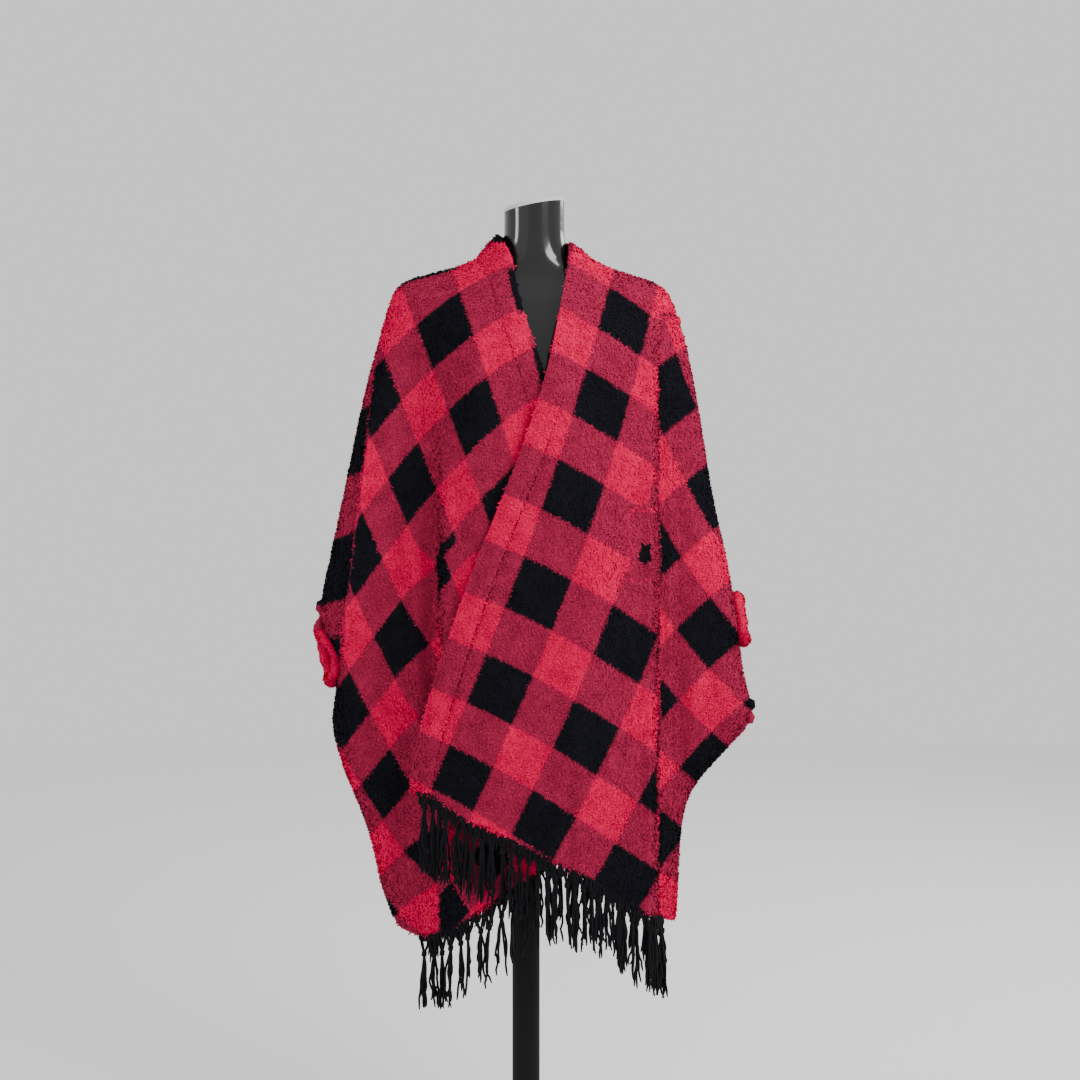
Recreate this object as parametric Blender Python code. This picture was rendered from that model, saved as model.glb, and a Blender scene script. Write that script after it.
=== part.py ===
"""A plush check poncho with crossed fronts and fringed hems, hanging on a headless torso form.

Metres, +Z up. The front faces -Y and the origin is on the floor, under the middle of the stand's pole.
Each cloth piece is a wall: a grid of outer points on the draped form, and the same grid moved inwards
by the wall's thickness. Table rows give sizes in millimetres.
"""

import math
from collections import namedtuple

import bmesh
import bpy
import numpy as np
from mathutils import Vector

MM = 0.001

# Cloth
WALL = 5 * MM
BAND_WALL = 7 * MM
SEAM_GAP = 0.3 * MM
OVERLAP_LIFT = 10 * MM
OVERLAP_FADE = 60 * MM
OVERLAP_MARGIN = 18 * MM
OVERLAP_END_Z = 1290 * MM
OVERLAP_END_RUN = 120 * MM
BODY_HALF_WIDTH = 270 * MM
NECK_ROUNDING = 120 * MM
WING_ROUNDING = 50 * MM
ROUNDING_START = 70 * MM
ROUNDING_RUN = 120 * MM
PLEAT_WIDTH = 32 * MM
SOFT_PLEAT_WIDTH = 130 * MM

# Rows share the side seam's points, and the hand opening lies between two of them.
ROW_SHARES = (
    0, 0.008, 0.03, 0.07, 0.12, 0.18, 0.24, 0.30, 0.36, 0.42, 0.445,
    0.47, 0.495, 0.52, 0.57, 0.63, 0.69, 0.75, 0.81, 0.87, 0.93, 1,
)
OPENING_TOP_SHARE = 0.42
OPENING_BOTTOM_SHARE = 0.52
OPENING_HALF_GAP = 30 * MM
CUFF_RADIUS = 9 * MM
CUFF_THIN_RADIUS = 4 * MM
CUFF_SIDES = 8
CUFF_HALF_DEPTH = 30 * MM
CUFF_CLEARANCE = 0.4 * MM
BAND_COLUMNS = 3
BODY_COLUMNS = 7
WING_COLUMNS = 4
PLEAT_HALF_SHARE = 0.045
SIDE_SHARES = (0.12, 0.065, 0.028, 0.007, 0)
BACK_SHOULDER_SHARES = (0, 0.02, 0.07, 0.17, 0.34, 0.56, 0.78)

# Fringe
STRIP_HEIGHT = 9 * MM
STRAND_LENGTH = 106 * MM
STRAND_TIP_SCALE = 0.75
STRAND_SWAY = 2.5 * MM
FRONT_STRANDS = 34
FRINGE_REACH = {"right": (0.004, 0.875), "left": (0.004, 0.925), "back": (0.104, 0.955)}
BACK_STRANDS = 44

# Form and stand
POLE_RADIUS = 20 * MM
POLE_TOP = 735 * MM
POLE_FOOT_RADIUS = 38 * MM
BASE_RADIUS = 200 * MM
BASE_HEIGHT = 12 * MM
FORM_CENTRE_X = 12 * MM
NECK_TOP_TILT = math.radians(11)
CAP_HEIGHT = 7 * MM
ROUND_STEPS = 24

Point = namedtuple("Point", "x z")
EdgeRow = namedtuple("EdgeRow", "free_x free_z seam_x seam_z")
DepthRow = namedtuple("DepthRow", "z front back wing")
PleatRow = namedtuple("PleatRow", "x top_z bottom_z step")
FoldRow = namedtuple("FoldRow", "x_top z_top x_bottom z_bottom half_width height")
FormRow = namedtuple("FormRow", "z half_width half_depth")
Opening = namedtuple("Opening", "top_z bottom_z front_notch thick_turn")

# Seen from the front: the fold over the shoulder and arm, then the side down to the hem.
SHOULDER_LEFT = [Point(-73, 1418), Point(-98, 1407), Point(-139, 1396), Point(-171, 1388),
                 Point(-191, 1374), Point(-200, 1352)]
SHOULDER_RIGHT = [Point(93, 1420), Point(124, 1403), Point(155, 1394), Point(188, 1383),
                  Point(206, 1371), Point(216, 1350)]
SIDE_LEFT = [Point(-200, 1352), Point(-213, 1307), Point(-239, 1211), Point(-268, 1065),
             Point(-297, 933), Point(-303, 895), Point(-297, 868), Point(-287, 842), Point(-278, 815),
             Point(-277, 790), Point(-283, 752), Point(-281, 725), Point(-268, 676), Point(-246, 627), Point(-226, 571), Point(-212, 503), Point(-196, 462)]
SIDE_RIGHT = [Point(216, 1350), Point(232, 1301), Point(251, 1211), Point(273, 1065), Point(291, 992),
              Point(302, 933), Point(308, 887), Point(313, 845), Point(320, 802), Point(330, 766),
              Point(327, 742), Point(306, 716), Point(268, 677), Point(238, 640), Point(226, 590),
              Point(223, 520), Point(219, 456)]

# Hand openings: the front edge is drawn in by the notch, and the roll is thickest towards its turn.
OPENING_LEFT = Opening(880, 806, 16, 100)
OPENING_RIGHT = Opening(922, 860, 0, 150)

# Front bands: the free edge and the seam to the panel, from the neck to the hem.
EDGE_OVER = [EdgeRow(64, 1442, 93, 1420), EdgeRow(62, 1414, 94, 1396), EdgeRow(47, 1328, 79, 1318),
             EdgeRow(29, 1245, 61, 1236), EdgeRow(10, 1187, 41, 1176), EdgeRow(-9, 1129, 21, 1117),
             EdgeRow(-50, 1031, -20, 1019), EdgeRow(-92, 924, -61, 913), EdgeRow(-130, 809, -98, 800),
             EdgeRow(-155, 726, -123, 718), EdgeRow(-162, 662, -130, 660)]
EDGE_UNDER = [EdgeRow(-42, 1453, -73, 1418), EdgeRow(-27, 1431, -64, 1404), EdgeRow(-18, 1409, -52, 1388),
              EdgeRow(-8, 1347, -40, 1338), EdgeRow(29, 1246, -3, 1238), EdgeRow(64, 1093, 33, 1086),
              EdgeRow(100, 939, 69, 932), EdgeRow(135, 785, 104, 778), EdgeRow(171, 631, 140, 624)]
HEM_OVER = [Point(-130, 660), Point(-91, 630), Point(-62, 619), Point(-16, 600), Point(41, 570),
            Point(91, 548), Point(175, 487), Point(219, 456)]
HEM_UNDER = [Point(140, 624), Point(104, 603), Point(31, 567), Point(-28, 523), Point(-83, 484),
             Point(-104, 466), Point(-144, 444), Point(-178, 450), Point(-196, 462)]
HEM_BACK = [Point(-196, 462), Point(-150, 470), Point(-95, 500), Point(-30, 530), Point(40, 535),
            Point(100, 512), Point(165, 476), Point(219, 456)]

# Half depths of the drape at each height: body in front, body behind, and the wings.
DEPTHS = [DepthRow(1460, 72, 66, 40), DepthRow(1400, 92, 82, 44), DepthRow(1340, 108, 100, 48),
          DepthRow(1250, 122, 112, 53), DepthRow(1100, 128, 112, 58), DepthRow(950, 130, 112, 62),
          DepthRow(800, 134, 116, 60), DepthRow(650, 138, 120, 56), DepthRow(450, 142, 124, 52)]
PLEAT_LEFT = PleatRow(-125, 1110, 660, 30)
PLEAT_RIGHT = PleatRow(187, 1310, 380, 32)
PLEAT_BACK = PleatRow(170, 0, 0, 0)
PLEAT_FADE = 160 * MM

FOLDS_OVER = [FoldRow(110, 1150, 60, 560, 26, 5), FoldRow(250, 1200, 272, 740, 26, -9)]
FOLDS_UNDER = [FoldRow(-190, 1150, -215, 700, 26, -10), FoldRow(-75, 1000, -60, 500, 28, -6)]
FOLDS_BACK = [FoldRow(-200, 1180, -165, 460, 32, -14), FoldRow(-120, 1230, -95, 460, 34, 12),
              FoldRow(-30, 1250, -15, 460, 34, -13), FoldRow(60, 1240, 70, 460, 34, 12),
              FoldRow(135, 1200, 150, 460, 34, -14), FoldRow(225, 1150, 215, 700, 30, 10)]

# The standing neck band: its free edge and its seam are half ellipses round the back of the neck.
NECK_FREE_DEPTH = 55 * MM
NECK_SEAM_DEPTH = 82 * MM
NECK_SEAM_DIP = 8 * MM
NECK_ANGLES = (0, 22.5, 45, 67.5, 90, 112.5, 135, 157.5, 180)

FORM = [FormRow(735, 112, 66), FormRow(745, 124, 76), FormRow(800, 136, 84), FormRow(880, 138, 86),
        FormRow(970, 134, 86), FormRow(1060, 142, 90), FormRow(1160, 156, 93), FormRow(1240, 168, 93),
        FormRow(1300, 176, 90), FormRow(1340, 180, 80), FormRow(1366, 171, 62), FormRow(1383, 149, 50),
        FormRow(1393, 122, 45), FormRow(1400, 96, 44), FormRow(1407, 75, 44), FormRow(1418, 54, 44),
        FormRow(1440, 44.5, 44), FormRow(1470, 44, 44)]
NECK_TOP = 1492 * MM


def smooth_step(value):
    clipped = np.clip(value, 0, 1)
    return clipped * clipped * (3 - 2 * clipped)


def mix(low, high, share):
    return low + (high - low) * share


def rounded_line(points, passes=2):
    """The points as metres, with each corner cut twice; both ends stay."""
    line = np.array([(point[0], point[1]) for point in points], float) * MM
    for _ in range(passes):
        near = line[:-1] * 0.75 + line[1:] * 0.25
        far = line[:-1] * 0.25 + line[1:] * 0.75
        middle = np.stack([near, far], axis=1).reshape(-1, line.shape[1])
        line = np.vstack([line[:1], middle, line[-1:]])
    return line


def along(line, shares):
    """Points at the given shares of the line's length."""
    steps = np.linalg.norm(np.diff(line, axis=0), axis=1)
    travelled = np.concatenate([[0], np.cumsum(steps)])
    wanted = np.asarray(shares, float) * travelled[-1]
    return np.stack([np.interp(wanted, travelled, line[:, axis]) for axis in range(line.shape[1])], axis=-1)


def opening_lens(rows):
    """0 at both ends of the hand opening and beyond, 1 at its middle."""
    share = (np.asarray(rows) - OPENING_TOP_SHARE) / (OPENING_BOTTOM_SHARE - OPENING_TOP_SHARE)
    return np.where((share > 0) & (share < 1), np.sin(np.pi * np.clip(share, 0, 1)), 0)


def side_points(line, opening, notch=0):
    """Points down the side, spaced so that the hand opening lies between its two shares."""
    steps = np.linalg.norm(np.diff(line, axis=0), axis=1)
    travelled = np.concatenate([[0], np.cumsum(steps)]) / steps.sum()
    falling = line[::-1]
    top = np.interp(opening.top_z * MM, falling[:, 1], travelled[::-1])
    bottom = np.interp(opening.bottom_z * MM, falling[:, 1], travelled[::-1])
    shares = np.interp(ROW_SHARES, (0, OPENING_TOP_SHARE, OPENING_BOTTOM_SHARE, 1), (0, top, bottom, 1))
    points = along(line, shares)
    points[:, 0] -= np.sign(points[:, 0]) * notch * MM * opening_lens(ROW_SHARES)
    return points


def distance_to(line, points):
    """Shortest distance from each (x, z) point to the line."""
    start, end = line[:-1], line[1:]
    edge = end - start
    offset = points[..., None, :] - start
    share = np.clip((offset * edge).sum(-1) / np.maximum((edge * edge).sum(-1), 1e-12), 0, 1)
    return np.linalg.norm(offset - share[..., None] * edge, axis=-1).min(-1)


def depth_column(name, z):
    heights = [row.z * MM for row in reversed(DEPTHS)]
    values = [getattr(row, name) * MM for row in reversed(DEPTHS)]
    return np.interp(z, heights, values)


def fold_height(folds, x, z):
    """Sum of soft ridges and troughs, each along its own slanting line."""
    total = np.zeros_like(x)
    for fold in folds:
        run = np.clip((fold.z_top * MM - z) / ((fold.z_top - fold.z_bottom) * MM), 0, 1)
        middle = mix(fold.x_top * MM, fold.x_bottom * MM, run)
        across = np.exp(-(((x - middle) / (fold.half_width * MM)) ** 2))
        total += fold.height * MM * across * smooth_step(run * 3)
    return total


def drape_depth(body, x, z, pleat, folds, outline, seam_depth):
    """How far the cloth hangs from the side plane, from the seam's own depth inwards."""
    fade = smooth_step((pleat.top_z * MM - z) / PLEAT_FADE + 0.5)
    fade = fade * smooth_step((z - pleat.bottom_z * MM) / PLEAT_FADE + 0.5)
    past = np.abs(x) - abs(pleat.x) * MM
    sharp = smooth_step(past / PLEAT_WIDTH + 0.5) * fade
    spread = smooth_step(past / SOFT_PLEAT_WIDTH + 0.5)
    ellipse = np.sqrt(np.maximum(0.04, 1 - (x / BODY_HALF_WIDTH) ** 2))
    full = mix(depth_column(body, z) * ellipse, depth_column("wing", z), spread)
    full = full + pleat.step * MM * (spread * fade - sharp) + fold_height(folds, x, z)
    rounding = mix(NECK_ROUNDING, WING_ROUNDING, smooth_step((np.abs(x) - ROUNDING_START) / ROUNDING_RUN))
    near = np.clip(distance_to(outline, np.stack([x, z], axis=-1)) / rounding, 0, 1)
    return seam_depth + (full - seam_depth) * np.sqrt(1 - (1 - near) ** 2)


def opening_depth(rows):
    """Half the gap between front and back at the side seam, wide only at the hand opening."""
    return SEAM_GAP / 2 + OPENING_HALF_GAP * opening_lens(rows)


def coons(top, bottom, left, right, across, down):
    """A patch between four boundary rows of points, at shares across and down."""
    u, t = across[None, :, None], down[:, None, None]
    ruled = (1 - t) * top[None] + t * bottom[None] + (1 - u) * left[:, None] + u * right[:, None]
    corners = (1 - t) * ((1 - u) * top[0] + u * top[-1]) + t * ((1 - u) * bottom[0] + u * bottom[-1])
    return ruled - corners


def grid_normals(grid, outward):
    """Unit normals of a grid of points, on the side that the given vector is on."""
    normals = np.cross(np.gradient(grid, axis=1), np.gradient(grid, axis=0))
    normals /= np.linalg.norm(normals, axis=2, keepdims=True)
    middle = normals[normals.shape[0] // 2, normals.shape[1] // 2]
    return normals if np.dot(middle, outward) > 0 else -normals


def flatten_normals(normals, rows, columns):
    """Turns the normals on a seam into the side plane, so that both walls end face to face."""
    seam = normals[rows, columns]
    seam[..., 1] = 0
    length = np.linalg.norm(seam, axis=-1, keepdims=True)
    normals[rows, columns] = seam / np.maximum(length, 1e-9)


def set_tip_normal(normals, column, inwards):
    """At the shoulder tip the seam turns down the arm: its normal lies between its neighbours'."""
    middle = normals[0, column + inwards] + normals[1, column]
    normals[0, column] = middle / np.linalg.norm(middle)


def front_grid(edge_rows, shoulder, side_line, opening, hem, pleat, folds, lift):
    """The whole front, band and panel, from the free edge to the side: points, normals, seam column."""
    down = np.array(ROW_SHARES)
    free = along(rounded_line([(row.free_x, row.free_z) for row in edge_rows]), down)
    seam = along(rounded_line([(row.seam_x, row.seam_z) for row in edge_rows]), down)
    shoulder_line, hem_line = rounded_line(shoulder), rounded_line(hem)
    side_edge = side_points(rounded_line(side_line), opening, opening.front_notch)
    share = pleat_share(shoulder_line, hem_line, seam, side_edge, down, pleat)
    columns = front_columns(share)
    panel = np.empty((len(down), columns.shape[1], 2))
    for index, row in enumerate(columns):
        patch = coons(along(shoulder_line, row), along(hem_line, row), seam, side_edge, row, down)
        panel[index] = patch[index]
    blend = np.linspace(0, 1, BAND_COLUMNS + 1)[None, :-1, None]
    flat = np.concatenate([free[:, None] * (1 - blend) + seam[:, None] * blend, panel], axis=1)
    x, z = flat[..., 0], flat[..., 1]
    neck_line = np.vstack([free[:1], shoulder_line])
    outline = np.vstack([neck_line, side_edge[1:]])
    seam_depth = np.full_like(x, SEAM_GAP / 2)
    seam_depth[:, BAND_COLUMNS + BODY_COLUMNS + 2:] = opening_depth(down)[:, None]
    depth = drape_depth("front", x, z, pleat, folds, outline, seam_depth)
    depth = depth + lift(x, z)
    depth[0] = SEAM_GAP / 2
    depth[:, -1] = opening_depth(down)
    grid = np.stack([x, -depth, z], axis=-1)
    normals = grid_normals(grid, (0, -1, 0))
    flatten_normals(normals, slice(0, 1), slice(None))
    closed = opening_depth(down) < SEAM_GAP
    flatten_normals(normals, closed, -1)
    set_tip_normal(normals, -1, -1)
    return grid, normals


def pleat_share(top, bottom, left, right, down, pleat):
    """The share across each row at which it meets the pleat."""
    shares = np.linspace(0, 1, 81)
    patch = coons(along(top, shares), along(bottom, shares), left, right, shares, down)
    found = [np.interp(abs(pleat.x) * MM, np.maximum.accumulate(np.abs(row[:, 0]) *
             (np.sign(row[:, 0]) == np.sign(pleat.x))), shares) for row in patch]
    return np.clip(found, 0.35, 0.72)


def front_columns(pleat_shares):
    """Column shares for each row: even over the body, tight at the pleat, rounding in at the side."""
    rows = []
    for share in pleat_shares:
        body = np.linspace(0, share - PLEAT_HALF_SHARE, BODY_COLUMNS + 1)
        wing = np.linspace(share + PLEAT_HALF_SHARE, 1 - SIDE_SHARES[0], WING_COLUMNS)
        side = 1 - np.array(SIDE_SHARES[1:])
        rows.append(np.concatenate([body, [share], wing, side]))
    return np.array(rows)


def split_at_seam(grid, normals):
    """Band and panel as two grids, half a seam gap back from each other."""
    seam = BAND_COLUMNS
    across = grid[:, seam + 1] - grid[:, seam - 1]
    across /= np.linalg.norm(across, axis=1, keepdims=True)
    across[0, 1] = 0
    band, panel = grid[:, : seam + 1].copy(), grid[:, seam:].copy()
    band[:, -1] -= across * SEAM_GAP / 2
    panel[:, 0] += across * SEAM_GAP / 2
    return (band, normals[:, : seam + 1]), (panel, normals[:, seam:])


def no_lift(x, z):
    return 0 * x


def overlap_lift(x, z):
    """The front that crosses on top stands clear of the one beneath it."""
    under_z = [row.free_z * MM for row in reversed(EDGE_UNDER)]
    under_x = [row.free_x * MM for row in reversed(EDGE_UNDER)]
    past = x - np.interp(z, under_z, under_x) - OVERLAP_MARGIN
    fall = 1 - smooth_step(past / OVERLAP_FADE)
    return OVERLAP_LIFT * fall * (1 - smooth_step((z - OVERLAP_END_Z) / OVERLAP_END_RUN))


def material(name, color, roughness, coat=0.0):
    made = bpy.data.materials.new(name)
    made.use_nodes = True
    shader = made.node_tree.nodes["Principled BSDF"]
    shader.inputs["Base Color"].default_value = (*color, 1)
    shader.inputs["Roughness"].default_value = roughness
    shader.inputs["Metallic"].default_value = 0.0
    shader.inputs["Coat Weight"].default_value = coat
    return made


def finish_object(name, mesh_builder, finish, smooth=True):
    """Makes the mesh an object at the origin, with its faces pointing out."""
    bmesh.ops.recalc_face_normals(mesh_builder, faces=mesh_builder.faces[:])
    mesh = bpy.data.meshes.new(name)
    mesh_builder.to_mesh(mesh)
    mesh_builder.free()
    if smooth:
        mesh.shade_smooth()
        mesh.set_sharp_from_angle(angle=math.radians(50))
    mesh.materials.append(finish)
    made = bpy.data.objects.new(name, mesh)
    bpy.context.scene.collection.objects.link(made)
    return made


def wall_object(name, grid, normals, thickness, finish):
    """A closed wall: the outer grid, the grid moved inwards, and the faces round the rim."""
    builder = bmesh.new()
    inner = grid - normals * np.reshape(thickness, (1, -1, 1))
    seam_rows = np.isclose(np.abs(grid[..., 1]), SEAM_GAP / 2, atol=1e-7)
    inner[..., 1] = np.where(seam_rows, grid[..., 1], inner[..., 1])
    layers = [[[builder.verts.new(point) for point in row] for row in layer] for layer in (grid, inner)]
    rows, columns = grid.shape[:2]
    for outside in (0, 1):
        layer = layers[outside]
        for row in range(rows - 1):
            for column in range(columns - 1):
                builder.faces.new((layer[row][column], layer[row][column + 1],
                                   layer[row + 1][column + 1], layer[row + 1][column]))
    rim = [(0, column) for column in range(columns - 1)]
    rim += [(row, columns - 1) for row in range(rows - 1)]
    rim += [(rows - 1, column) for column in range(columns - 1, 0, -1)]
    rim += [(row, 0) for row in range(rows - 1, 0, -1)]
    for here, following in zip(rim, rim[1:] + rim[:1]):
        # Both walls at a seam split their end faces along the same diagonal.
        (row, column), (next_row, next_column) = sorted((here, following))
        outer, next_outer = layers[0][row][column], layers[0][next_row][next_column]
        inner, next_inner = layers[1][row][column], layers[1][next_row][next_column]
        builder.faces.new((outer, next_outer, next_inner))
        builder.faces.new((outer, next_inner, inner))
    return finish_object(name, builder, finish)


def neck_path(angles):
    """Free edge and seam of the neck band, round the back of the neck, from left to right."""
    turn = np.radians(angles)
    share = (1 - np.cos(turn)) / 2
    paths = []
    for left, right, depth, dip in (
        ((EDGE_UNDER[0].free_x, EDGE_UNDER[0].free_z), (EDGE_OVER[0].free_x, EDGE_OVER[0].free_z),
         NECK_FREE_DEPTH, 0),
        ((EDGE_UNDER[0].seam_x, EDGE_UNDER[0].seam_z), (EDGE_OVER[0].seam_x, EDGE_OVER[0].seam_z),
         NECK_SEAM_DEPTH, NECK_SEAM_DIP),
    ):
        x = mix(left[0] * MM, right[0] * MM, share)
        y = SEAM_GAP / 2 + depth * np.sin(turn)
        z = mix(left[1] * MM, right[1] * MM, share) - dip * np.sin(turn)
        paths.append(np.stack([x, y, z], axis=-1))
    return paths


def neckline_normals():
    """Level normals round the neckline, which the neck band and the back share at their seam."""
    turn = np.radians(NECK_ANGLES)
    normals = np.stack([-np.cos(turn), np.sin(turn), 0 * turn], axis=-1)
    normals[[0, -1], 1] = 0
    return normals


def make_neck_band(finish):
    free, seam = neck_path(NECK_ANGLES)
    blend = np.linspace(0, 1, BAND_COLUMNS)[None, :, None]
    grid = free[:, None] * (1 - blend) + seam[:, None] * blend
    normals = grid_normals(grid, (0, 1, 0.5))
    flatten_normals(normals, [0, -1], slice(None))
    normals[:, -1] = neckline_normals()
    lift = np.array((0, 0, SEAM_GAP))
    grid[:, -1] += lift
    return wall_object("band_neck", grid, normals, WALL, finish)


def back_top():
    """The back's upper edge from shoulder tip to shoulder tip, with the neckline round the neck."""
    _, neckline = neck_path(NECK_ANGLES)
    left = rounded_line(SHOULDER_LEFT)[::-1]
    right = rounded_line(SHOULDER_RIGHT)
    shares = np.array(BACK_SHOULDER_SHARES)
    left_x = mix(left[0, 0], left[-1, 0], shares)
    right_x = mix(right[0, 0], right[-1, 0], 1 - shares[::-1])
    side_depth = SEAM_GAP / 2
    rows = [(x, side_depth, z) for x, z in zip(left_x, np.interp(left_x, left[:, 0], left[:, 1]))]
    rows += [tuple(point) for point in neckline]
    rows += [(x, side_depth, z) for x, z in zip(right_x, np.interp(right_x, right[:, 0], right[:, 1]))]
    return np.array(rows)


def back_grid():
    down = np.array(ROW_SHARES)
    top = back_top()
    across = (top[:, 0] - top[0, 0]) / (top[-1, 0] - top[0, 0])
    hem_line = rounded_line(HEM_BACK)
    hem_x = mix(hem_line[0, 0], hem_line[-1, 0], across)
    hem = np.stack([hem_x, np.interp(hem_x, hem_line[:, 0], hem_line[:, 1])], axis=-1)
    left_line, right_line = rounded_line(SIDE_LEFT), rounded_line(SIDE_RIGHT)
    left, right = side_points(left_line, OPENING_LEFT), side_points(right_line, OPENING_RIGHT)
    flat = coons(top[:, [0, 2]], hem, left, right, across, down)
    x, z = flat[..., 0], flat[..., 1]
    outline = np.vstack([left_line[::-1], top[1:-1, [0, 2]], right_line])
    at_top = np.interp(x, top[:, 0], top[:, 1])
    at_side = opening_depth(down)[:, None]
    reach = smooth_step((np.abs(across - 0.5)[None, :] - 0.3) / 0.15)
    seam_depth = mix(at_top, at_side, reach)
    depth = drape_depth("back", x, z, PLEAT_BACK, FOLDS_BACK, outline, seam_depth)
    depth[0] = top[:, 1]
    depth[:, 0] = depth[:, -1] = opening_depth(down)
    grid = np.stack([x, depth, z], axis=-1)
    normals = grid_normals(grid, (0, 1, 0))
    on_side_plane = np.isclose(depth, SEAM_GAP / 2, atol=1e-7)
    flatten_normals(normals, *np.nonzero(on_side_plane))
    set_tip_normal(normals, 0, 1)
    set_tip_normal(normals, -1, -1)
    neck_start = len(BACK_SHOULDER_SHARES)
    normals[0, neck_start:neck_start + len(NECK_ANGLES)] = neckline_normals()
    return grid, normals


def make_cuff(name, side_line, opening, outward, finish):
    """A rolled edge: a tube round the hand opening, thick on one side and thin across from it."""
    line = rounded_line(side_line)
    falling = line[::-1]
    heights = np.array((opening.top_z, opening.bottom_z)) * MM
    ends = np.stack([np.interp(heights, falling[:, 1], falling[:, 0]), heights], axis=-1)
    run = ends[1] - ends[0]
    half_length = np.linalg.norm(run) / 2
    run /= 2 * half_length
    away = np.array((-run[1], run[0]))
    away *= np.sign(away[0]) * outward
    inside = [(point - ends[0]) @ away for point in line if heights[1] <= point[1] <= heights[0]]
    centre = ends.mean(axis=0) + away * (max(inside + [0]) + CUFF_CLEARANCE)
    axis = Vector((away[0], 0, away[1]))
    builder = bmesh.new()
    rings = []
    for step in range(ROUND_STEPS):
        turn = 2 * math.pi * step / ROUND_STEPS
        thick = smooth_step(0.5 + 0.75 * math.cos(turn - math.radians(opening.thick_turn)))
        radius = mix(CUFF_THIN_RADIUS, CUFF_RADIUS, float(thick))
        at_front = math.sin(turn) < 0
        notch = opening.front_notch * MM * math.sin(math.pi * (1 - math.cos(turn)) / 2) * at_front
        spine = Vector((centre[0] + run[0] * half_length * math.cos(turn),
                        CUFF_HALF_DEPTH * math.sin(turn),
                        centre[1] + run[1] * half_length * math.cos(turn)))
        spine += axis * radius - Vector((outward * notch, 0, 0))
        spoke = Vector((run[0] * math.cos(turn) / half_length, math.sin(turn) / CUFF_HALF_DEPTH,
                        run[1] * math.cos(turn) / half_length)).normalized()
        ring = []
        for corner in range(CUFF_SIDES):
            angle = 2 * math.pi * corner / CUFF_SIDES
            offset = spoke * math.cos(angle) + axis * math.sin(angle)
            ring.append(builder.verts.new(spine + offset * radius))
        rings.append(ring)
    for ring, following in zip(rings, rings[1:] + rings[:1]):
        for corner in range(CUFF_SIDES):
            after = (corner + 1) % CUFF_SIDES
            builder.faces.new((ring[corner], ring[after], following[after], following[corner]))
    return finish_object(name, builder, finish)


def hem_rows(*walls):
    """Outer and inner points of the lowest row of the given walls, joined end to end."""
    outer, inner = [], []
    for grid, normals, thickness in walls:
        outer.append(grid[-1])
        inner.append(grid[-1] - normals[-1] * thickness)
    return np.concatenate(outer), np.concatenate(inner)


def make_fringe(name, hem, strands, reach, finish):
    """A narrow strip just under the hem, with a strand drawn down from every second cell."""
    cells = 2 * strands + 1
    shares = np.linspace(*reach, cells + 1)
    outer, inner = (along(line, shares) for line in hem)
    drop = np.array((0, 0, SEAM_GAP + 0.6 * MM))
    fall = np.array((0, 0, STRIP_HEIGHT))
    builder = bmesh.new()
    loops = [outer - drop, inner - drop, inner - drop - fall, outer - drop - fall]
    sections = [[builder.verts.new(loop[index]) for loop in loops] for index in range(cells + 1)]
    undersides = []
    for start, end in zip(sections, sections[1:]):
        for corner in range(4):
            after = (corner + 1) % 4
            face = builder.faces.new((start[corner], start[after], end[after], end[corner]))
            if corner == 2:
                undersides.append(face)
    builder.faces.new(sections[0])
    builder.faces.new(sections[-1][::-1])
    for index, face in enumerate(undersides[1::2]):
        sway = STRAND_SWAY * math.sin(index * 2.4)
        length = STRAND_LENGTH * (1 + 0.05 * math.sin(index * 1.7))
        for share, scale in ((0.5, 0.9), (0.5, STRAND_TIP_SCALE)):
            face = bmesh.ops.extrude_discrete_faces(builder, faces=[face])["faces"][0]
            middle = face.calc_center_median()
            shift = Vector((sway * share, 0, -length * share))
            for vert in face.verts:
                vert.co = middle + (vert.co - middle) * scale + shift
    return finish_object(name, builder, finish)


def ring_body(name, rings, finish):
    """A closed body through rings of points, with a fan of faces at each end."""
    builder = bmesh.new()
    made = [[builder.verts.new(point) for point in ring] for ring in rings]
    for ring, following in zip(made, made[1:]):
        for index in range(len(ring)):
            after = (index + 1) % len(ring)
            builder.faces.new((ring[index], ring[after], following[after], following[index]))
    builder.faces.new(made[0][::-1])
    builder.faces.new(made[-1])
    return finish_object(name, builder, finish)


def ellipse_ring(centre_x, z, half_width, half_depth, tilt=0.0):
    ring = []
    for step in range(ROUND_STEPS):
        turn = 2 * math.pi * step / ROUND_STEPS
        x = half_width * math.cos(turn)
        ring.append(Vector((centre_x + x, half_depth * math.sin(turn), z + x * math.tan(tilt))))
    return ring


def make_form(finish, cap_finish):
    """The torso with its neck, cut off at a slant, and the pale cap on the cut."""
    rings = [ellipse_ring(FORM_CENTRE_X, row.z * MM, row.half_width * MM, row.half_depth * MM)
             for row in FORM]
    neck = FORM[-1].half_width * MM
    rings.append(ellipse_ring(FORM_CENTRE_X, NECK_TOP, neck, neck, NECK_TOP_TILT))
    ring_body("form_torso", rings, finish)
    cap = [ellipse_ring(FORM_CENTRE_X, NECK_TOP + SEAM_GAP, neck, neck, NECK_TOP_TILT),
           ellipse_ring(FORM_CENTRE_X, NECK_TOP + CAP_HEIGHT * 0.7, neck, neck, NECK_TOP_TILT),
           ellipse_ring(FORM_CENTRE_X, NECK_TOP + CAP_HEIGHT, neck * 0.94, neck * 0.94, NECK_TOP_TILT)]
    ring_body("neck_cap", cap, cap_finish)


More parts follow.
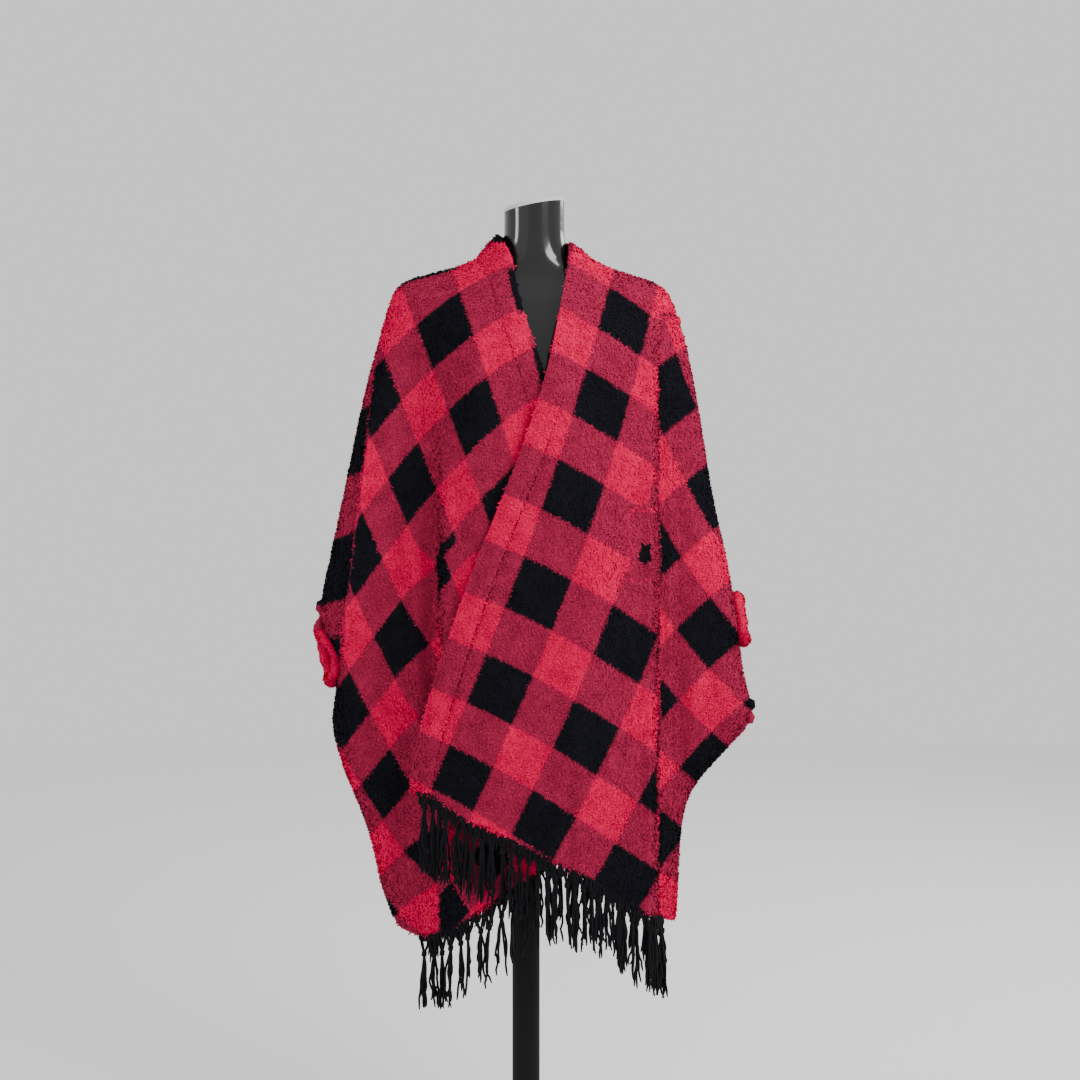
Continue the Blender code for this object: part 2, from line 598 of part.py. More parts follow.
def make_stand(pole_finish, base_finish):
    """A straight pole into the form, and a plain round base."""
    foot = BASE_HEIGHT + SEAM_GAP
    top = POLE_TOP - SEAM_GAP
    pole = [ellipse_ring(0, foot, POLE_FOOT_RADIUS, POLE_FOOT_RADIUS),
            ellipse_ring(0, foot + 8 * MM, POLE_FOOT_RADIUS, POLE_FOOT_RADIUS),
            ellipse_ring(0, foot + 40 * MM, POLE_RADIUS, POLE_RADIUS),
            ellipse_ring(0, top, POLE_RADIUS, POLE_RADIUS)]
    ring_body("stand_pole", pole, pole_finish)
    edge = 3 * MM
    base = [ellipse_ring(0, 0, BASE_RADIUS - edge, BASE_RADIUS - edge),
            ellipse_ring(0, edge, BASE_RADIUS, BASE_RADIUS),
            ellipse_ring(0, BASE_HEIGHT - edge, BASE_RADIUS, BASE_RADIUS),
            ellipse_ring(0, BASE_HEIGHT, BASE_RADIUS - edge, BASE_RADIUS - edge)]
    ring_body("stand_base", base, base_finish)


def main():
    for old in list(bpy.data.objects):
        bpy.data.objects.remove(old, do_unlink=True)
    plush = material("plush_check", (0.55, 0.02, 0.08), 0.95)
    band = material("plush_band", (0.62, 0.02, 0.09), 0.95)
    yarn = material("black_yarn", (0.012, 0.012, 0.016), 0.9)
    gloss = material("gloss_black", (0.01, 0.01, 0.012), 0.15, coat=0.5)
    grey = material("grey_cap", (0.55, 0.56, 0.57), 0.4)
    satin = material("satin_black", (0.015, 0.015, 0.017), 0.4)

    under = front_grid(EDGE_UNDER, SHOULDER_LEFT, SIDE_LEFT, OPENING_LEFT, HEM_UNDER,
                       PLEAT_LEFT, FOLDS_UNDER, no_lift)
    over = front_grid(EDGE_OVER, SHOULDER_RIGHT, SIDE_RIGHT, OPENING_RIGHT, HEM_OVER,
                      PLEAT_RIGHT, FOLDS_OVER, overlap_lift)
    for name, whole in (("right", under), ("left", over)):
        (band_grid, band_normals), (panel_grid, panel_normals) = split_at_seam(*whole)
        band_walls = (BAND_WALL,) * BAND_COLUMNS + (WALL,)
        wall_object(f"band_{name}", band_grid, band_normals, band_walls, band)
        wall_object(f"front_{name}", panel_grid, panel_normals, WALL, plush)
        hem = hem_rows((band_grid, band_normals, WALL), (panel_grid, panel_normals, WALL))
        make_fringe(f"fringe_{name}", hem, FRONT_STRANDS, FRINGE_REACH[name], yarn)
    back, back_normals = back_grid()
    wall_object("back_panel", back, back_normals, WALL, plush)
    make_fringe("fringe_back", hem_rows((back, back_normals, WALL)), BACK_STRANDS,
                FRINGE_REACH["back"], yarn)
    make_neck_band(band)
    make_cuff("cuff_right", SIDE_LEFT, OPENING_LEFT, -1, plush)
    make_cuff("cuff_left", SIDE_RIGHT, OPENING_RIGHT, 1, plush)
    make_form(gloss, grey)
    make_stand(satin, satin)


main()
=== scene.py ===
"""Looks of a plush check poncho with crossed fronts and knotted fringe on a glossy torso form.

The drape repeats the sizes that the solids were worked out from, in millimetres in the tables below.
Each panel starts as a flat grid that is laid over that drape, gets the check as a flat-cut map, and
is covered in short leaning tufts of pile.
"""

import logging
import math
from dataclasses import dataclass, field
from enum import Enum
from typing import NamedTuple, Sequence, Union

import bmesh
import bpy
import numpy as np
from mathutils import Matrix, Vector


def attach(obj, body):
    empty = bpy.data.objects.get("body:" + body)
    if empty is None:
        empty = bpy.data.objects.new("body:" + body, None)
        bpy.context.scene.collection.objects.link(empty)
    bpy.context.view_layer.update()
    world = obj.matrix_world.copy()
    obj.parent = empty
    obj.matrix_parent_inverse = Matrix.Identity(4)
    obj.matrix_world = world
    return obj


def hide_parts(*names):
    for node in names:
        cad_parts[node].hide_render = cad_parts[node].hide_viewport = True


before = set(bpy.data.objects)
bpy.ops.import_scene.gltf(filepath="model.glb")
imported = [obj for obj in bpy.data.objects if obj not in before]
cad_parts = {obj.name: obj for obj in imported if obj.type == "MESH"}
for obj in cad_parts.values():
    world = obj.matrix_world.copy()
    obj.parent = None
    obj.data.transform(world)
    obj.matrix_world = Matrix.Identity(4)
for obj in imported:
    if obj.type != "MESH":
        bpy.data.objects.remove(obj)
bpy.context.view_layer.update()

logging.basicConfig(level=logging.INFO, format="%(message)s")
LOG = logging.getLogger("poncho")

MM = 0.001
BODY = "root"
DARK_SPREAD = 0.08
Array = np.ndarray
Amount = Union[float, Array]


class Point(NamedTuple):
    """A point of an outline seen from the front, in millimetres."""

    x: float
    z: float


class EdgeRow(NamedTuple):
    """One station down a front: the band's free edge and its seam, in millimetres."""

    free_x: float
    free_z: float
    seam_x: float
    seam_z: float


class DepthRow(NamedTuple):
    """Half depths of the drape at one height, in millimetres."""

    z: float
    front: float
    back: float
    wing: float


class PleatRow(NamedTuple):
    """A pleat beside the body: its place, where it runs, and how far the cloth steps back."""

    x: float
    top_z: float
    bottom_z: float
    step: float
    width: float


class FoldRow(NamedTuple):
    """A soft ridge, or a trough where height is below zero, along a slanting line."""

    x_top: float
    z_top: float
    x_bottom: float
    z_bottom: float
    half_width: float
    height: float


class FormRow(NamedTuple):
    """One level section of the torso form, in millimetres."""

    z: float
    half_width: float
    half_depth: float


class CheckRow(NamedTuple):
    """The middle of one check in the photo, in pixels, and its place in the repeat."""

    px: float
    py: float
    across: float
    down: float


class Opening(NamedTuple):
    """A hand opening: its heights, how far its front edge is drawn in, and where its roll is thickest."""

    top_z: float
    bottom_z: float
    front_notch: float
    thick_turn: float


class StudioLight(NamedTuple):
    """A square soft light: its place and size in metres, and its power in watts."""

    name: str
    place: tuple
    power: float
    size: float


class Side(Enum):
    """Which front a piece belongs to."""

    UNDER = "right"
    OVER = "left"


SHOULDER_LEFT = [Point(-73, 1418), Point(-98, 1407), Point(-139, 1396), Point(-171, 1388),
                 Point(-191, 1374), Point(-200, 1352)]
SHOULDER_RIGHT = [Point(93, 1420), Point(124, 1403), Point(155, 1394), Point(188, 1383),
                  Point(206, 1371), Point(216, 1350)]
SIDE_LEFT = [Point(-200, 1352), Point(-213, 1307), Point(-239, 1211), Point(-268, 1065),
             Point(-297, 933), Point(-303, 895), Point(-297, 868), Point(-287, 842), Point(-278, 815),
             Point(-277, 790), Point(-283, 752), Point(-281, 725), Point(-268, 676), Point(-246, 627),
             Point(-226, 571), Point(-212, 503), Point(-196, 462)]
SIDE_RIGHT = [Point(216, 1350), Point(232, 1301), Point(251, 1211), Point(273, 1065), Point(291, 992),
              Point(302, 933), Point(308, 887), Point(313, 845), Point(320, 802), Point(330, 766),
              Point(327, 742), Point(306, 716), Point(268, 677), Point(238, 640), Point(226, 590),
              Point(223, 520), Point(219, 456)]
OPENING_LEFT = Opening(880, 806, 16, 100)
OPENING_RIGHT = Opening(922, 860, 0, 150)
EDGE_OVER = [EdgeRow(64, 1442, 93, 1420), EdgeRow(62, 1414, 94, 1396), EdgeRow(47, 1328, 79, 1318),
             EdgeRow(29, 1245, 61, 1236), EdgeRow(10, 1187, 41, 1176), EdgeRow(-9, 1129, 21, 1117),
             EdgeRow(-50, 1031, -20, 1019), EdgeRow(-92, 924, -61, 913), EdgeRow(-130, 809, -98, 800),
             EdgeRow(-155, 726, -123, 718), EdgeRow(-162, 662, -130, 660)]
EDGE_UNDER = [EdgeRow(-42, 1453, -73, 1418), EdgeRow(-27, 1431, -64, 1404), EdgeRow(-18, 1409, -52, 1388),
              EdgeRow(-8, 1347, -40, 1338), EdgeRow(29, 1246, -3, 1238), EdgeRow(64, 1093, 33, 1086),
              EdgeRow(100, 939, 69, 932), EdgeRow(135, 785, 104, 778), EdgeRow(171, 631, 140, 624)]
HEM_OVER = [Point(-130, 660), Point(-91, 630), Point(-62, 619), Point(-16, 600), Point(41, 570),
            Point(91, 548), Point(175, 487), Point(219, 456)]
HEM_UNDER = [Point(140, 624), Point(104, 603), Point(31, 567), Point(-28, 523), Point(-83, 484),
             Point(-104, 466), Point(-144, 444), Point(-178, 450), Point(-196, 462)]
HEM_BACK = [Point(-196, 462), Point(-150, 470), Point(-95, 500), Point(-30, 530), Point(40, 535),
            Point(100, 512), Point(165, 476), Point(219, 456)]
DEPTHS = [DepthRow(1460, 72, 66, 40), DepthRow(1400, 92, 82, 44), DepthRow(1340, 108, 100, 48),
          DepthRow(1250, 122, 112, 53), DepthRow(1100, 128, 112, 58), DepthRow(950, 130, 112, 62),
          DepthRow(800, 134, 116, 60), DepthRow(650, 138, 120, 56), DepthRow(450, 142, 124, 52)]
FORM = [FormRow(735, 112, 66), FormRow(745, 124, 76), FormRow(800, 136, 84), FormRow(880, 138, 86),
        FormRow(970, 134, 86), FormRow(1060, 142, 90), FormRow(1160, 156, 93), FormRow(1240, 168, 93),
        FormRow(1300, 176, 90), FormRow(1340, 180, 80), FormRow(1366, 171, 62), FormRow(1383, 149, 50),
        FormRow(1393, 122, 45), FormRow(1400, 96, 44), FormRow(1407, 75, 44), FormRow(1418, 54, 44),
        FormRow(1440, 44.5, 44), FormRow(1470, 44, 44)]


@dataclass(frozen=True)
class View:
    """The photo's camera: level, with its axis a little right of the stand."""

    distance: float = 2.5
    x: float = 0.0204
    z: float = 1.15
    frame_px: float = 1080.0
    focal_px: float = 1712.3
    level_py: float = 441.7
    sensor: float = 36.0

    def pixels(self, points: Array) -> Array:
        """Photo pixels of world points.

        Args:
            points: world positions, (..., 3).

        Returns:
            Pixel positions, (..., 2).
        """
        scale = self.focal_px / (self.distance + points[..., 1])
        px = self.frame_px / 2 + (points[..., 0] - self.x) * scale
        return np.stack([px, self.level_py - (points[..., 2] - self.z) * scale], axis=-1)

    def place(self) -> None:
        """Makes the camera and sets it as the scene's."""
        data = bpy.data.cameras.new("photo_camera")
        data.sensor_width = self.sensor
        data.lens = self.focal_px * self.sensor / self.frame_px
        data.shift_y = -(self.frame_px / 2 - self.level_py) / self.frame_px
        camera = bpy.data.objects.new("photo_camera", data)
        camera.location = (self.x, -self.distance, self.z)
        camera.rotation_euler = (math.pi / 2, 0, 0)
        bpy.context.scene.collection.objects.link(camera)
        bpy.context.scene.camera = camera


VIEW = View()


def smooth_step(value: Array) -> Array:
    """A soft ramp from 0 to 1 as the value goes from 0 to 1."""
    clipped = np.clip(value, 0, 1)
    return clipped * clipped * (3 - 2 * clipped)


def mix(low: Amount, high: Amount, share: Amount) -> Amount:
    """The value a share of the way from low to high."""
    return low + (high - low) * share


def rounded_line(points: Sequence[Sequence[float]], passes: int = 2) -> Array:
    """The points in metres with each corner cut, as in the solids.

    Args:
        points: stations in millimetres.
        passes: how often each corner is cut.

    Returns:
        The line's points, (n, 2).
    """
    line = np.array([tuple(point)[:2] for point in points], float) * MM
    for _ in range(passes):
        near = line[:-1] * 0.75 + line[1:] * 0.25
        far = line[:-1] * 0.25 + line[1:] * 0.75
        middle = np.stack([near, far], axis=1).reshape(-1, line.shape[1])
        line = np.vstack([line[:1], middle, line[-1:]])
    return line


def travelled(line: Array) -> Array:
    """Length along the line at each of its points."""
    return np.concatenate([[0], np.cumsum(np.linalg.norm(np.diff(line, axis=0), axis=1))])


def along(line: Array, shares: Array) -> Array:
    """Points at the given shares of a line's length."""
    run = travelled(line)
    wanted = np.asarray(shares, float) * run[-1]
    return np.stack([np.interp(wanted, run, line[:, axis]) for axis in range(line.shape[1])], axis=-1)


def distance_to(line: Array, points: Array) -> Array:
    """Shortest distance from each (x, z) point to a line."""
    start, edge = line[:-1], np.diff(line, axis=0)
    best = np.full(points.shape[:-1], 9.0)
    for origin, run in zip(start, edge):
        offset = points - origin
        share = np.clip((offset @ run) / max(float(run @ run), 1e-12), 0, 1)
        best = np.minimum(best, np.linalg.norm(offset - share[..., None] * run, axis=-1))
    return best


def coons(top: Array, bottom: Array, left: Array, right: Array, across: Array, down: Array) -> Array:
    """A patch between four boundary rows of points, at shares across and down."""
    u, t = across[None, :, None], down[:, None, None]
    ruled = (1 - t) * top[None] + t * bottom[None] + (1 - u) * left[:, None] + u * right[:, None]
    corners = (1 - t) * ((1 - u) * top[0] + u * top[-1]) + t * ((1 - u) * bottom[0] + u * bottom[-1])
    return ruled - corners


def grid_normals(grid: Array, outward: Sequence[float]) -> Array:
    """Unit normals of a grid of points, on the side that outward is on."""
    normals = np.cross(np.gradient(grid, axis=1), np.gradient(grid, axis=0))
    normals /= np.maximum(np.linalg.norm(normals, axis=2, keepdims=True), 1e-12)
    middle = normals[normals.shape[0] // 2, normals.shape[1] // 2]
    return normals if np.dot(middle, outward) > 0 else -normals


@dataclass
class Drape:
    """How the cloth hangs: depths in front and behind, pleats, folds and the hand openings."""

    body_half_width: float = 270 * MM
    neck_rounding: float = 120 * MM
    wing_rounding: float = 50 * MM
    soft_pleat_width: float = 130 * MM
    pleat_fade: float = 160 * MM
    opening_top: float = 0.42
    opening_bottom: float = 0.52
    opening_half_gap: float = 30 * MM
    overlap_lift: float = 10 * MM
    overlap_fade: float = 60 * MM
    seam_half_gap: float = 0.15 * MM

    def column(self, name: str, z: Array) -> Array:
        """One of the half depths at the given heights."""
        heights = [row.z * MM for row in reversed(DEPTHS)]
        return np.interp(z, heights, [getattr(row, name) * MM for row in reversed(DEPTHS)])

    def folds(self, rows: Sequence[FoldRow], x: Array, z: Array) -> Array:
        """Sum of the ridges and troughs at each point."""
        total = np.zeros_like(x)
        for fold in rows:
            run = np.clip((fold.z_top * MM - z) / ((fold.z_top - fold.z_bottom) * MM), 0, 1)
            middle = mix(fold.x_top * MM, fold.x_bottom * MM, run)
            across = np.exp(-(((x - middle) / (fold.half_width * MM)) ** 2))
            ends = smooth_step(run * 3) * (1 - smooth_step((fold.z_bottom * MM - z) / 0.05))
            total += fold.height * MM * across * ends
        return total

    def depth(self, body: str, x: Array, z: Array, pleats: Sequence[PleatRow],
              folds: Sequence[FoldRow], outline: Array, seam_depth: Array) -> Array:
        """How far the cloth hangs from the side plane.

        Args:
            body: which half depth to use, front or back.
            x: positions across.
            z: heights.
            pleats: the wide step first, then narrower ones.
            folds: soft ridges and troughs.
            outline: the shoulder and side line that the cloth rounds into.
            seam_depth: depth at that line.

        Returns:
            Depth at each point.
        """
        spread = smooth_step((np.abs(x) - abs(pleats[0].x) * MM) / self.soft_pleat_width + 0.5)
        ellipse = np.sqrt(np.maximum(0.04, 1 - (x / self.body_half_width) ** 2))
        full = mix(self.column(body, z) * ellipse, self.column("wing", z), spread)
        for pleat in pleats:
            fade = smooth_step((pleat.top_z * MM - z) / self.pleat_fade + 0.5)
            fade = fade * smooth_step((z - pleat.bottom_z * MM) / self.pleat_fade + 0.5)
            past = np.where(np.sign(x) == np.sign(pleat.x), np.abs(x) - abs(pleat.x) * MM, -1)
            sharp = smooth_step(past / (pleat.width * MM) + 0.5)
            soft = smooth_step(past / self.soft_pleat_width + 0.5)
            full = full + pleat.step * MM * fade * (soft - sharp)
        full = full + self.folds(folds, x, z)
        rounding = mix(self.neck_rounding, self.wing_rounding,
                       smooth_step((np.abs(x) - 70 * MM) / (120 * MM)))
        near = np.clip(distance_to(outline, np.stack([x, z], axis=-1)) / rounding, 0, 1)
        return seam_depth + (full - seam_depth) * np.sqrt(1 - (1 - near) ** 2)

    def lens(self, rows: Array) -> Array:
        """0 at both ends of the hand opening and beyond, 1 at its middle."""
        share = (rows - self.opening_top) / (self.opening_bottom - self.opening_top)
        return np.where((share > 0) & (share < 1), np.sin(np.pi * np.clip(share, 0, 1)), 0)

    def gap(self, rows: Array) -> Array:
        """Half the gap between front and back down the side, wide at the hand opening."""
        return self.seam_half_gap + self.opening_half_gap * self.lens(rows)

    def side(self, line: Array, opening: Opening, rows: Array, notch: float = 0) -> Array:
        """Points down the side line, with the hand opening between its two shares."""
        run = travelled(line) / travelled(line)[-1]
        top, bottom = (np.interp(z * MM, line[::-1, 1], run[::-1]) for z in opening[:2])
        points = along(line, np.interp(rows, (0, self.opening_top, self.opening_bottom, 1),
                                       (0, top, bottom, 1)))
        points[:, 0] -= np.sign(points[:, 0]) * notch * MM * self.lens(rows)
        return points

    def lift(self, x: Array, z: Array) -> Array:
        """How far the front on top stands off the one beneath it."""
        under_z = [row.free_z * MM for row in reversed(EDGE_UNDER)]
        under_x = [row.free_x * MM for row in reversed(EDGE_UNDER)]
        past = x - np.interp(z, under_z, under_x) - 18 * MM
        fall = 1 - smooth_step(past / self.overlap_fade)
        return self.overlap_lift * fall * (1 - smooth_step((z - 1290 * MM) / (120 * MM)))


DRAPE = Drape()


def cubic_terms(pixels: Array) -> Array:
    """Terms of a cubic in pixel place, about the middle of the photo."""
    x, y = (pixels[..., 0] - 540) / 200, (pixels[..., 1] - 600) / 200
    terms = [np.ones_like(x), x, y, x * x, x * y, y * y, x * x * y, x * y * y, y * y * y]
    return np.stack(terms, axis=-1)


@dataclass(frozen=True)
class CheckChart:
    """Where the check's repeats fall on a panel, from a few checks seen in the photo."""

    rows: Sequence[CheckRow]
    terms: int = 9
    steadiness: float = 0.02

    def place(self, points: Array) -> Array:
        """Repeat coordinates of world points: a whole number is the middle of a dark band.

        Args:
            points: world positions, (..., 3).

        Returns:
            Coordinates across and down, (..., 2).
        """
        seen = np.array([(row.px, row.py) for row in self.rows], float)
        known = np.array([(row.across, row.down) for row in self.rows], float)
        terms = cubic_terms(seen)[:, : self.terms]
        weight = np.diag([0.0] * 3 + [self.steadiness] * (self.terms - 3))
        solved = np.linalg.solve(terms.T @ terms + weight, terms.T @ known)
        return cubic_terms(VIEW.pixels(points))[..., : self.terms] @ solved


CHART_UNDER = CheckChart([
    CheckRow(445, 331, 0, 0), CheckRow(470, 415, 0, 1), CheckRow(502, 508, 0, 2),
    CheckRow(544, 267, -1, 0), CheckRow(574, 355, -1, 1), CheckRow(420, 247, 0, -1),
    CheckRow(541, 352, -0.75, 0.75), CheckRow(552, 389, -0.75, 1.25),
    CheckRow(476, 502, 0.25, 1.75), CheckRow(500, 509, 0, 2),
    CheckRow(373, 397, 1, 0), CheckRow(417, 483, 1, 1), CheckRow(449, 573, 1, 2),
    CheckRow(357, 561, 2, 1), CheckRow(403, 635, 2, 2), CheckRow(337, 708, 3, 2),
    CheckRow(382, 786, 3, 3), CheckRow(428, 860, 3, 4), CheckRow(466, 910, 3, 5),
    CheckRow(507, 341, -0.5, 0.5), CheckRow(482, 259, -0.5, -0.5), CheckRow(388, 318, 0.5, -0.5),
    CheckRow(413, 410, 0.5, 0.5), CheckRow(457, 481, 0.5, 1.5), CheckRow(375, 478, 1.5, 0.5),
    CheckRow(414, 557, 1.5, 1.5), CheckRow(355, 634, 2.5, 1.5), CheckRow(391, 712, 2.5, 2.5),
    CheckRow(385, 855, 3.5, 3.5), CheckRow(423, 903, 3.5, 4.5), CheckRow(521, 428, -0.5, 1.5),
])
CHART_OVER = CheckChart([
    CheckRow(539, 594, 0, 0), CheckRow(573, 497, 0, -1), CheckRow(607, 400, 0, -2),
    CheckRow(628, 321, 0, -3), CheckRow(496, 688, 0, 1), CheckRow(462, 777, 0, 2),
    CheckRow(628, 647, 1, 0), CheckRow(584, 737, 1, 1), CheckRow(541, 829, 1, 2),
    CheckRow(628, 878, 2, 2), CheckRow(668, 553, 1, -1), CheckRow(670, 795, 2, 1),
    CheckRow(580, 333, -0.5, -2.5), CheckRow(545, 427, -0.5, -1.5), CheckRow(509, 524, -0.5, -0.5),
    CheckRow(473, 624, -0.5, 0.5), CheckRow(438, 714, -0.5, 1.5), CheckRow(602, 569, 0.5, -0.5),
    CheckRow(566, 663, 0.5, 0.5), CheckRow(525, 756, 0.5, 1.5), CheckRow(606, 808, 1.5, 1.5),
    CheckRow(627, 479, 0.5, -1.5), CheckRow(594, 256, -0.5, -3.5),
    CheckRow(563, 263, -0.75, -3.25), CheckRow(641, 470, 0.75, -1.75), CheckRow(637, 551, 0.75, -0.75),
])
CHART_WING = CheckChart([
    CheckRow(665, 396, -2, -1), CheckRow(716, 493, -1, -1), CheckRow(648, 549, -1, 0),
    CheckRow(709, 633, 0, 0), CheckRow(784, 706, 1, 0), CheckRow(751, 705, 0.75, 0.25),
    CheckRow(648, 703, 0, 1), CheckRow(707, 757, 1, 1), CheckRow(652, 838, 1, 2),
    CheckRow(704, 567, -0.5, -0.5), CheckRow(704, 702, 0.5, 0.5), CheckRow(662, 768, 0.5, 1.5),
    CheckRow(665, 900, 1.5, 2.5), CheckRow(672, 465, -1.5, -0.5),
], terms=6)


RIDGE = ((376, 350), (368, 416), (361, 475), (346, 603), (336, 690))
STRIP_ACROSS = 0.12
STRIP_START = 439
STRIP_SLANT = 0.3
STRIP_PERIOD = 126
# Rows of the hollow in the hand opening, painted black as shade.
STRIP_HOLLOW_SHADE = (636, 662)


@dataclass(frozen=True)
class Patch:
    """A small field of one colour laid over the check beside a pleat: its photo pixels and its check."""

    left: float
    right: float
    top: float
    bottom: float
    check: tuple = (0.0, 0.0)

    def paint(self, pixels: Array, chart: Array) -> None:
        """Gives the points inside the field its place in the repeat."""
        px, py = pixels[..., 0], pixels[..., 1]
        chart[(px > self.left) & (px < self.right) & (py > self.top) & (py < self.bottom)] = self.check


# Painted sheen on the fold beside the pleat: the first field lays the lighter mixed colour over the middle of
# a black check, the second sets a smaller field inside it back to black.
PLEAT_SHEEN_PATCHES = (Patch(630, 661, 508, 580, (0.5, 0.0)), Patch(640, 652, 544, 562))


def turned_strip(pixels: Array, chart: Array) -> Array:
    """Gives the cloth beyond the ridge beside the hand opening its own run of checks, with a band of painted
    shade, in the check's black, over the hollow of the opening.

    Args:
        pixels: photo pixels of the points.
        chart: the check's coordinates on the flat of the front.

    Returns:
        The coordinates with those beyond the ridge changed.
    """
    px, py = pixels[..., 0], pixels[..., 1]
    line = np.interp(py, [row[1] for row in RIDGE], [row[0] for row in RIDGE])
    down = (py - STRIP_START + STRIP_SLANT * (px - line)) / STRIP_PERIOD
    strip = np.stack([STRIP_ACROSS + 0 * px, down], axis=-1)
    # Painted shade: the black check stands for the shadow in the hollow of the hand opening.
    strip[(py > STRIP_HOLLOW_SHADE[0]) & (py < STRIP_HOLLOW_SHADE[1])] = 0
    beyond = (px < line) & (py > RIDGE[0][1]) & (py < RIDGE[-1][1])
    return np.where(beyond[..., None], strip, chart)


@dataclass(frozen=True)
class PlushFinish:
    """Curly plush in a check: three colours, the pile's sheen and its unevenness."""

    name: str
    red: tuple = (0.80, 0.0, 0.078)
    mixed: tuple = (0.39, 0.019, 0.066)
    black: tuple = (0.010, 0.010, 0.014)
    roughness: float = 1.0
    sheen: float = 0.0
    edge_softness: float = 0.08
    edge_wobble: float = 0.03
    clump_scale: float = 330.0
    bump: float = 0.6

    def make(self) -> bpy.types.Material:
        made, nodes, links, shader = new_material(self.name)
        check = nodes.new("ShaderNodeGroup")
        check.node_tree = check_group()
        for socket, color in (("Red", self.red), ("Mixed", self.mixed), ("Black", self.black)):
            check.inputs[socket].default_value = (*color, 1)
        check.inputs["Softness"].default_value = self.edge_softness
        check.inputs["Wobble"].default_value = self.edge_wobble
        chart = nodes.new("ShaderNodeUVMap")
        chart.uv_map = "check"
        links.new(chart.outputs["UV"], check.inputs["Repeat"])
        pile = nodes.new("ShaderNodeGroup")
        pile.node_tree = pile_and_shade_group()
        pile.inputs["Scale"].default_value = self.clump_scale
        links.new(check.outputs["Color"], pile.inputs["Color"])
        tone = nodes.new("ShaderNodeUVMap")
        tone.uv_map = "tone"
        links.new(tone.outputs["UV"], pile.inputs["Tone"])
        links.new(pile.outputs["Color"], shader.inputs["Base Color"])
        bump = nodes.new("ShaderNodeBump")
        bump.inputs["Strength"].default_value = self.bump
        bump.inputs["Distance"].default_value = 2 * MM
        links.new(pile.outputs["Height"], bump.inputs["Height"])
        links.new(bump.outputs["Normal"], shader.inputs["Normal"])
        shader.inputs["Roughness"].default_value = self.roughness
        shader.inputs["Specular IOR Level"].default_value = 0.02
        shader.inputs["Sheen Weight"].default_value = self.sheen
        shader.inputs["Sheen Roughness"].default_value = 0.5
        shader.inputs["Sheen Tint"].default_value = (1.0, 0.82, 0.86, 1)
        return made


@dataclass(frozen=True)
class YarnFinish:
    """Soft black yarn with a twist."""

    name: str = "black_yarn"
    color: tuple = (0.004, 0.004, 0.0055)
    roughness: float = 0.95
    twist_scale: float = 900.0

    def make(self) -> bpy.types.Material:
        """Builds the material."""
        made, nodes, links, shader = new_material(self.name)
        place = nodes.new("ShaderNodeTexCoord")
        fibre = nodes.new("ShaderNodeTexNoise")
        fibre.inputs["Scale"].default_value = self.twist_scale
        fibre.inputs["Detail"].default_value = 3
        links.new(place.outputs["Object"], fibre.inputs["Vector"])
        ramp = nodes.new("ShaderNodeMapRange")
        ramp.inputs["To Min"].default_value = 0.5
        ramp.inputs["To Max"].default_value = 1.7
        links.new(fibre.outputs["Fac"], ramp.inputs["Value"])
        tint = nodes.new("ShaderNodeVectorMath")
        tint.operation = "SCALE"
        tint.inputs[0].default_value = self.color
        links.new(ramp.outputs["Result"], tint.inputs["Scale"])
        links.new(tint.outputs["Vector"], shader.inputs["Base Color"])
        bump = nodes.new("ShaderNodeBump")
        bump.inputs["Strength"].default_value = 0.5
        bump.inputs["Distance"].default_value = 0.5 * MM
        links.new(fibre.outputs["Fac"], bump.inputs["Height"])
        links.new(bump.outputs["Normal"], shader.inputs["Normal"])
        shader.inputs["Roughness"].default_value = self.roughness
        shader.inputs["Specular IOR Level"].default_value = 0.1
        shader.inputs["Sheen Weight"].default_value = 0.03
        return made


@dataclass(frozen=True)
class HardFinish:
    """A smooth moulded or painted surface with a faint unevenness."""

    name: str
    color: tuple
    roughness: float
    coat: float
    smear: float = 0.05
    smear_scale: float = 9.0
    shine: float = 0.5

    def make(self) -> bpy.types.Material:
        """Builds the material."""
        made, nodes, links, shader = new_material(self.name)
        place = nodes.new("ShaderNodeTexCoord")
        haze = nodes.new("ShaderNodeTexNoise")
        haze.inputs["Scale"].default_value = self.smear_scale
        haze.inputs["Detail"].default_value = 4
        links.new(place.outputs["Object"], haze.inputs["Vector"])
        rough = nodes.new("ShaderNodeMapRange")
        rough.inputs["To Min"].default_value = self.roughness
        rough.inputs["To Max"].default_value = self.roughness + self.smear
        links.new(haze.outputs["Fac"], rough.inputs["Value"])
        links.new(rough.outputs["Result"], shader.inputs["Roughness"])
        tone = nodes.new("ShaderNodeMapRange")
        tone.inputs["To Min"].default_value = 0.85
        tone.inputs["To Max"].default_value = 1.15
        links.new(haze.outputs["Fac"], tone.inputs["Value"])
        tint = nodes.new("ShaderNodeVectorMath")
        tint.operation = "SCALE"
        tint.inputs[0].default_value = self.color
        links.new(tone.outputs["Result"], tint.inputs["Scale"])
        links.new(tint.outputs["Vector"], shader.inputs["Base Color"])
        shader.inputs["Specular IOR Level"].default_value = self.shine
        shader.inputs["Coat Weight"].default_value = self.coat
        shader.inputs["Coat Roughness"].default_value = 0.04
        return made


def new_material(name: str) -> tuple:
    """A material with its nodes, links and shader."""
    made = bpy.data.materials.new(name)
    made.use_nodes = True
    tree = made.node_tree
    return made, tree.nodes, tree.links, tree.nodes["Principled BSDF"]


def new_group(name: str, inputs: Sequence[tuple], outputs: Sequence[tuple]) -> bpy.types.NodeTree:
    """A shader node group with named sockets.

    Args:
        name: the group's name.
        inputs: name, socket type and value of each input.
        outputs: name and socket type of each output.

    Returns:
        The new group.
    """
    group = bpy.data.node_groups.new(name, "ShaderNodeTree")
    for label, kind, value in inputs:
        socket = group.interface.new_socket(label, in_out="INPUT", socket_type=kind)
        if value is not None:
            socket.default_value = value
    for label, kind in outputs:
        group.interface.new_socket(label, in_out="OUTPUT", socket_type=kind)
    return group


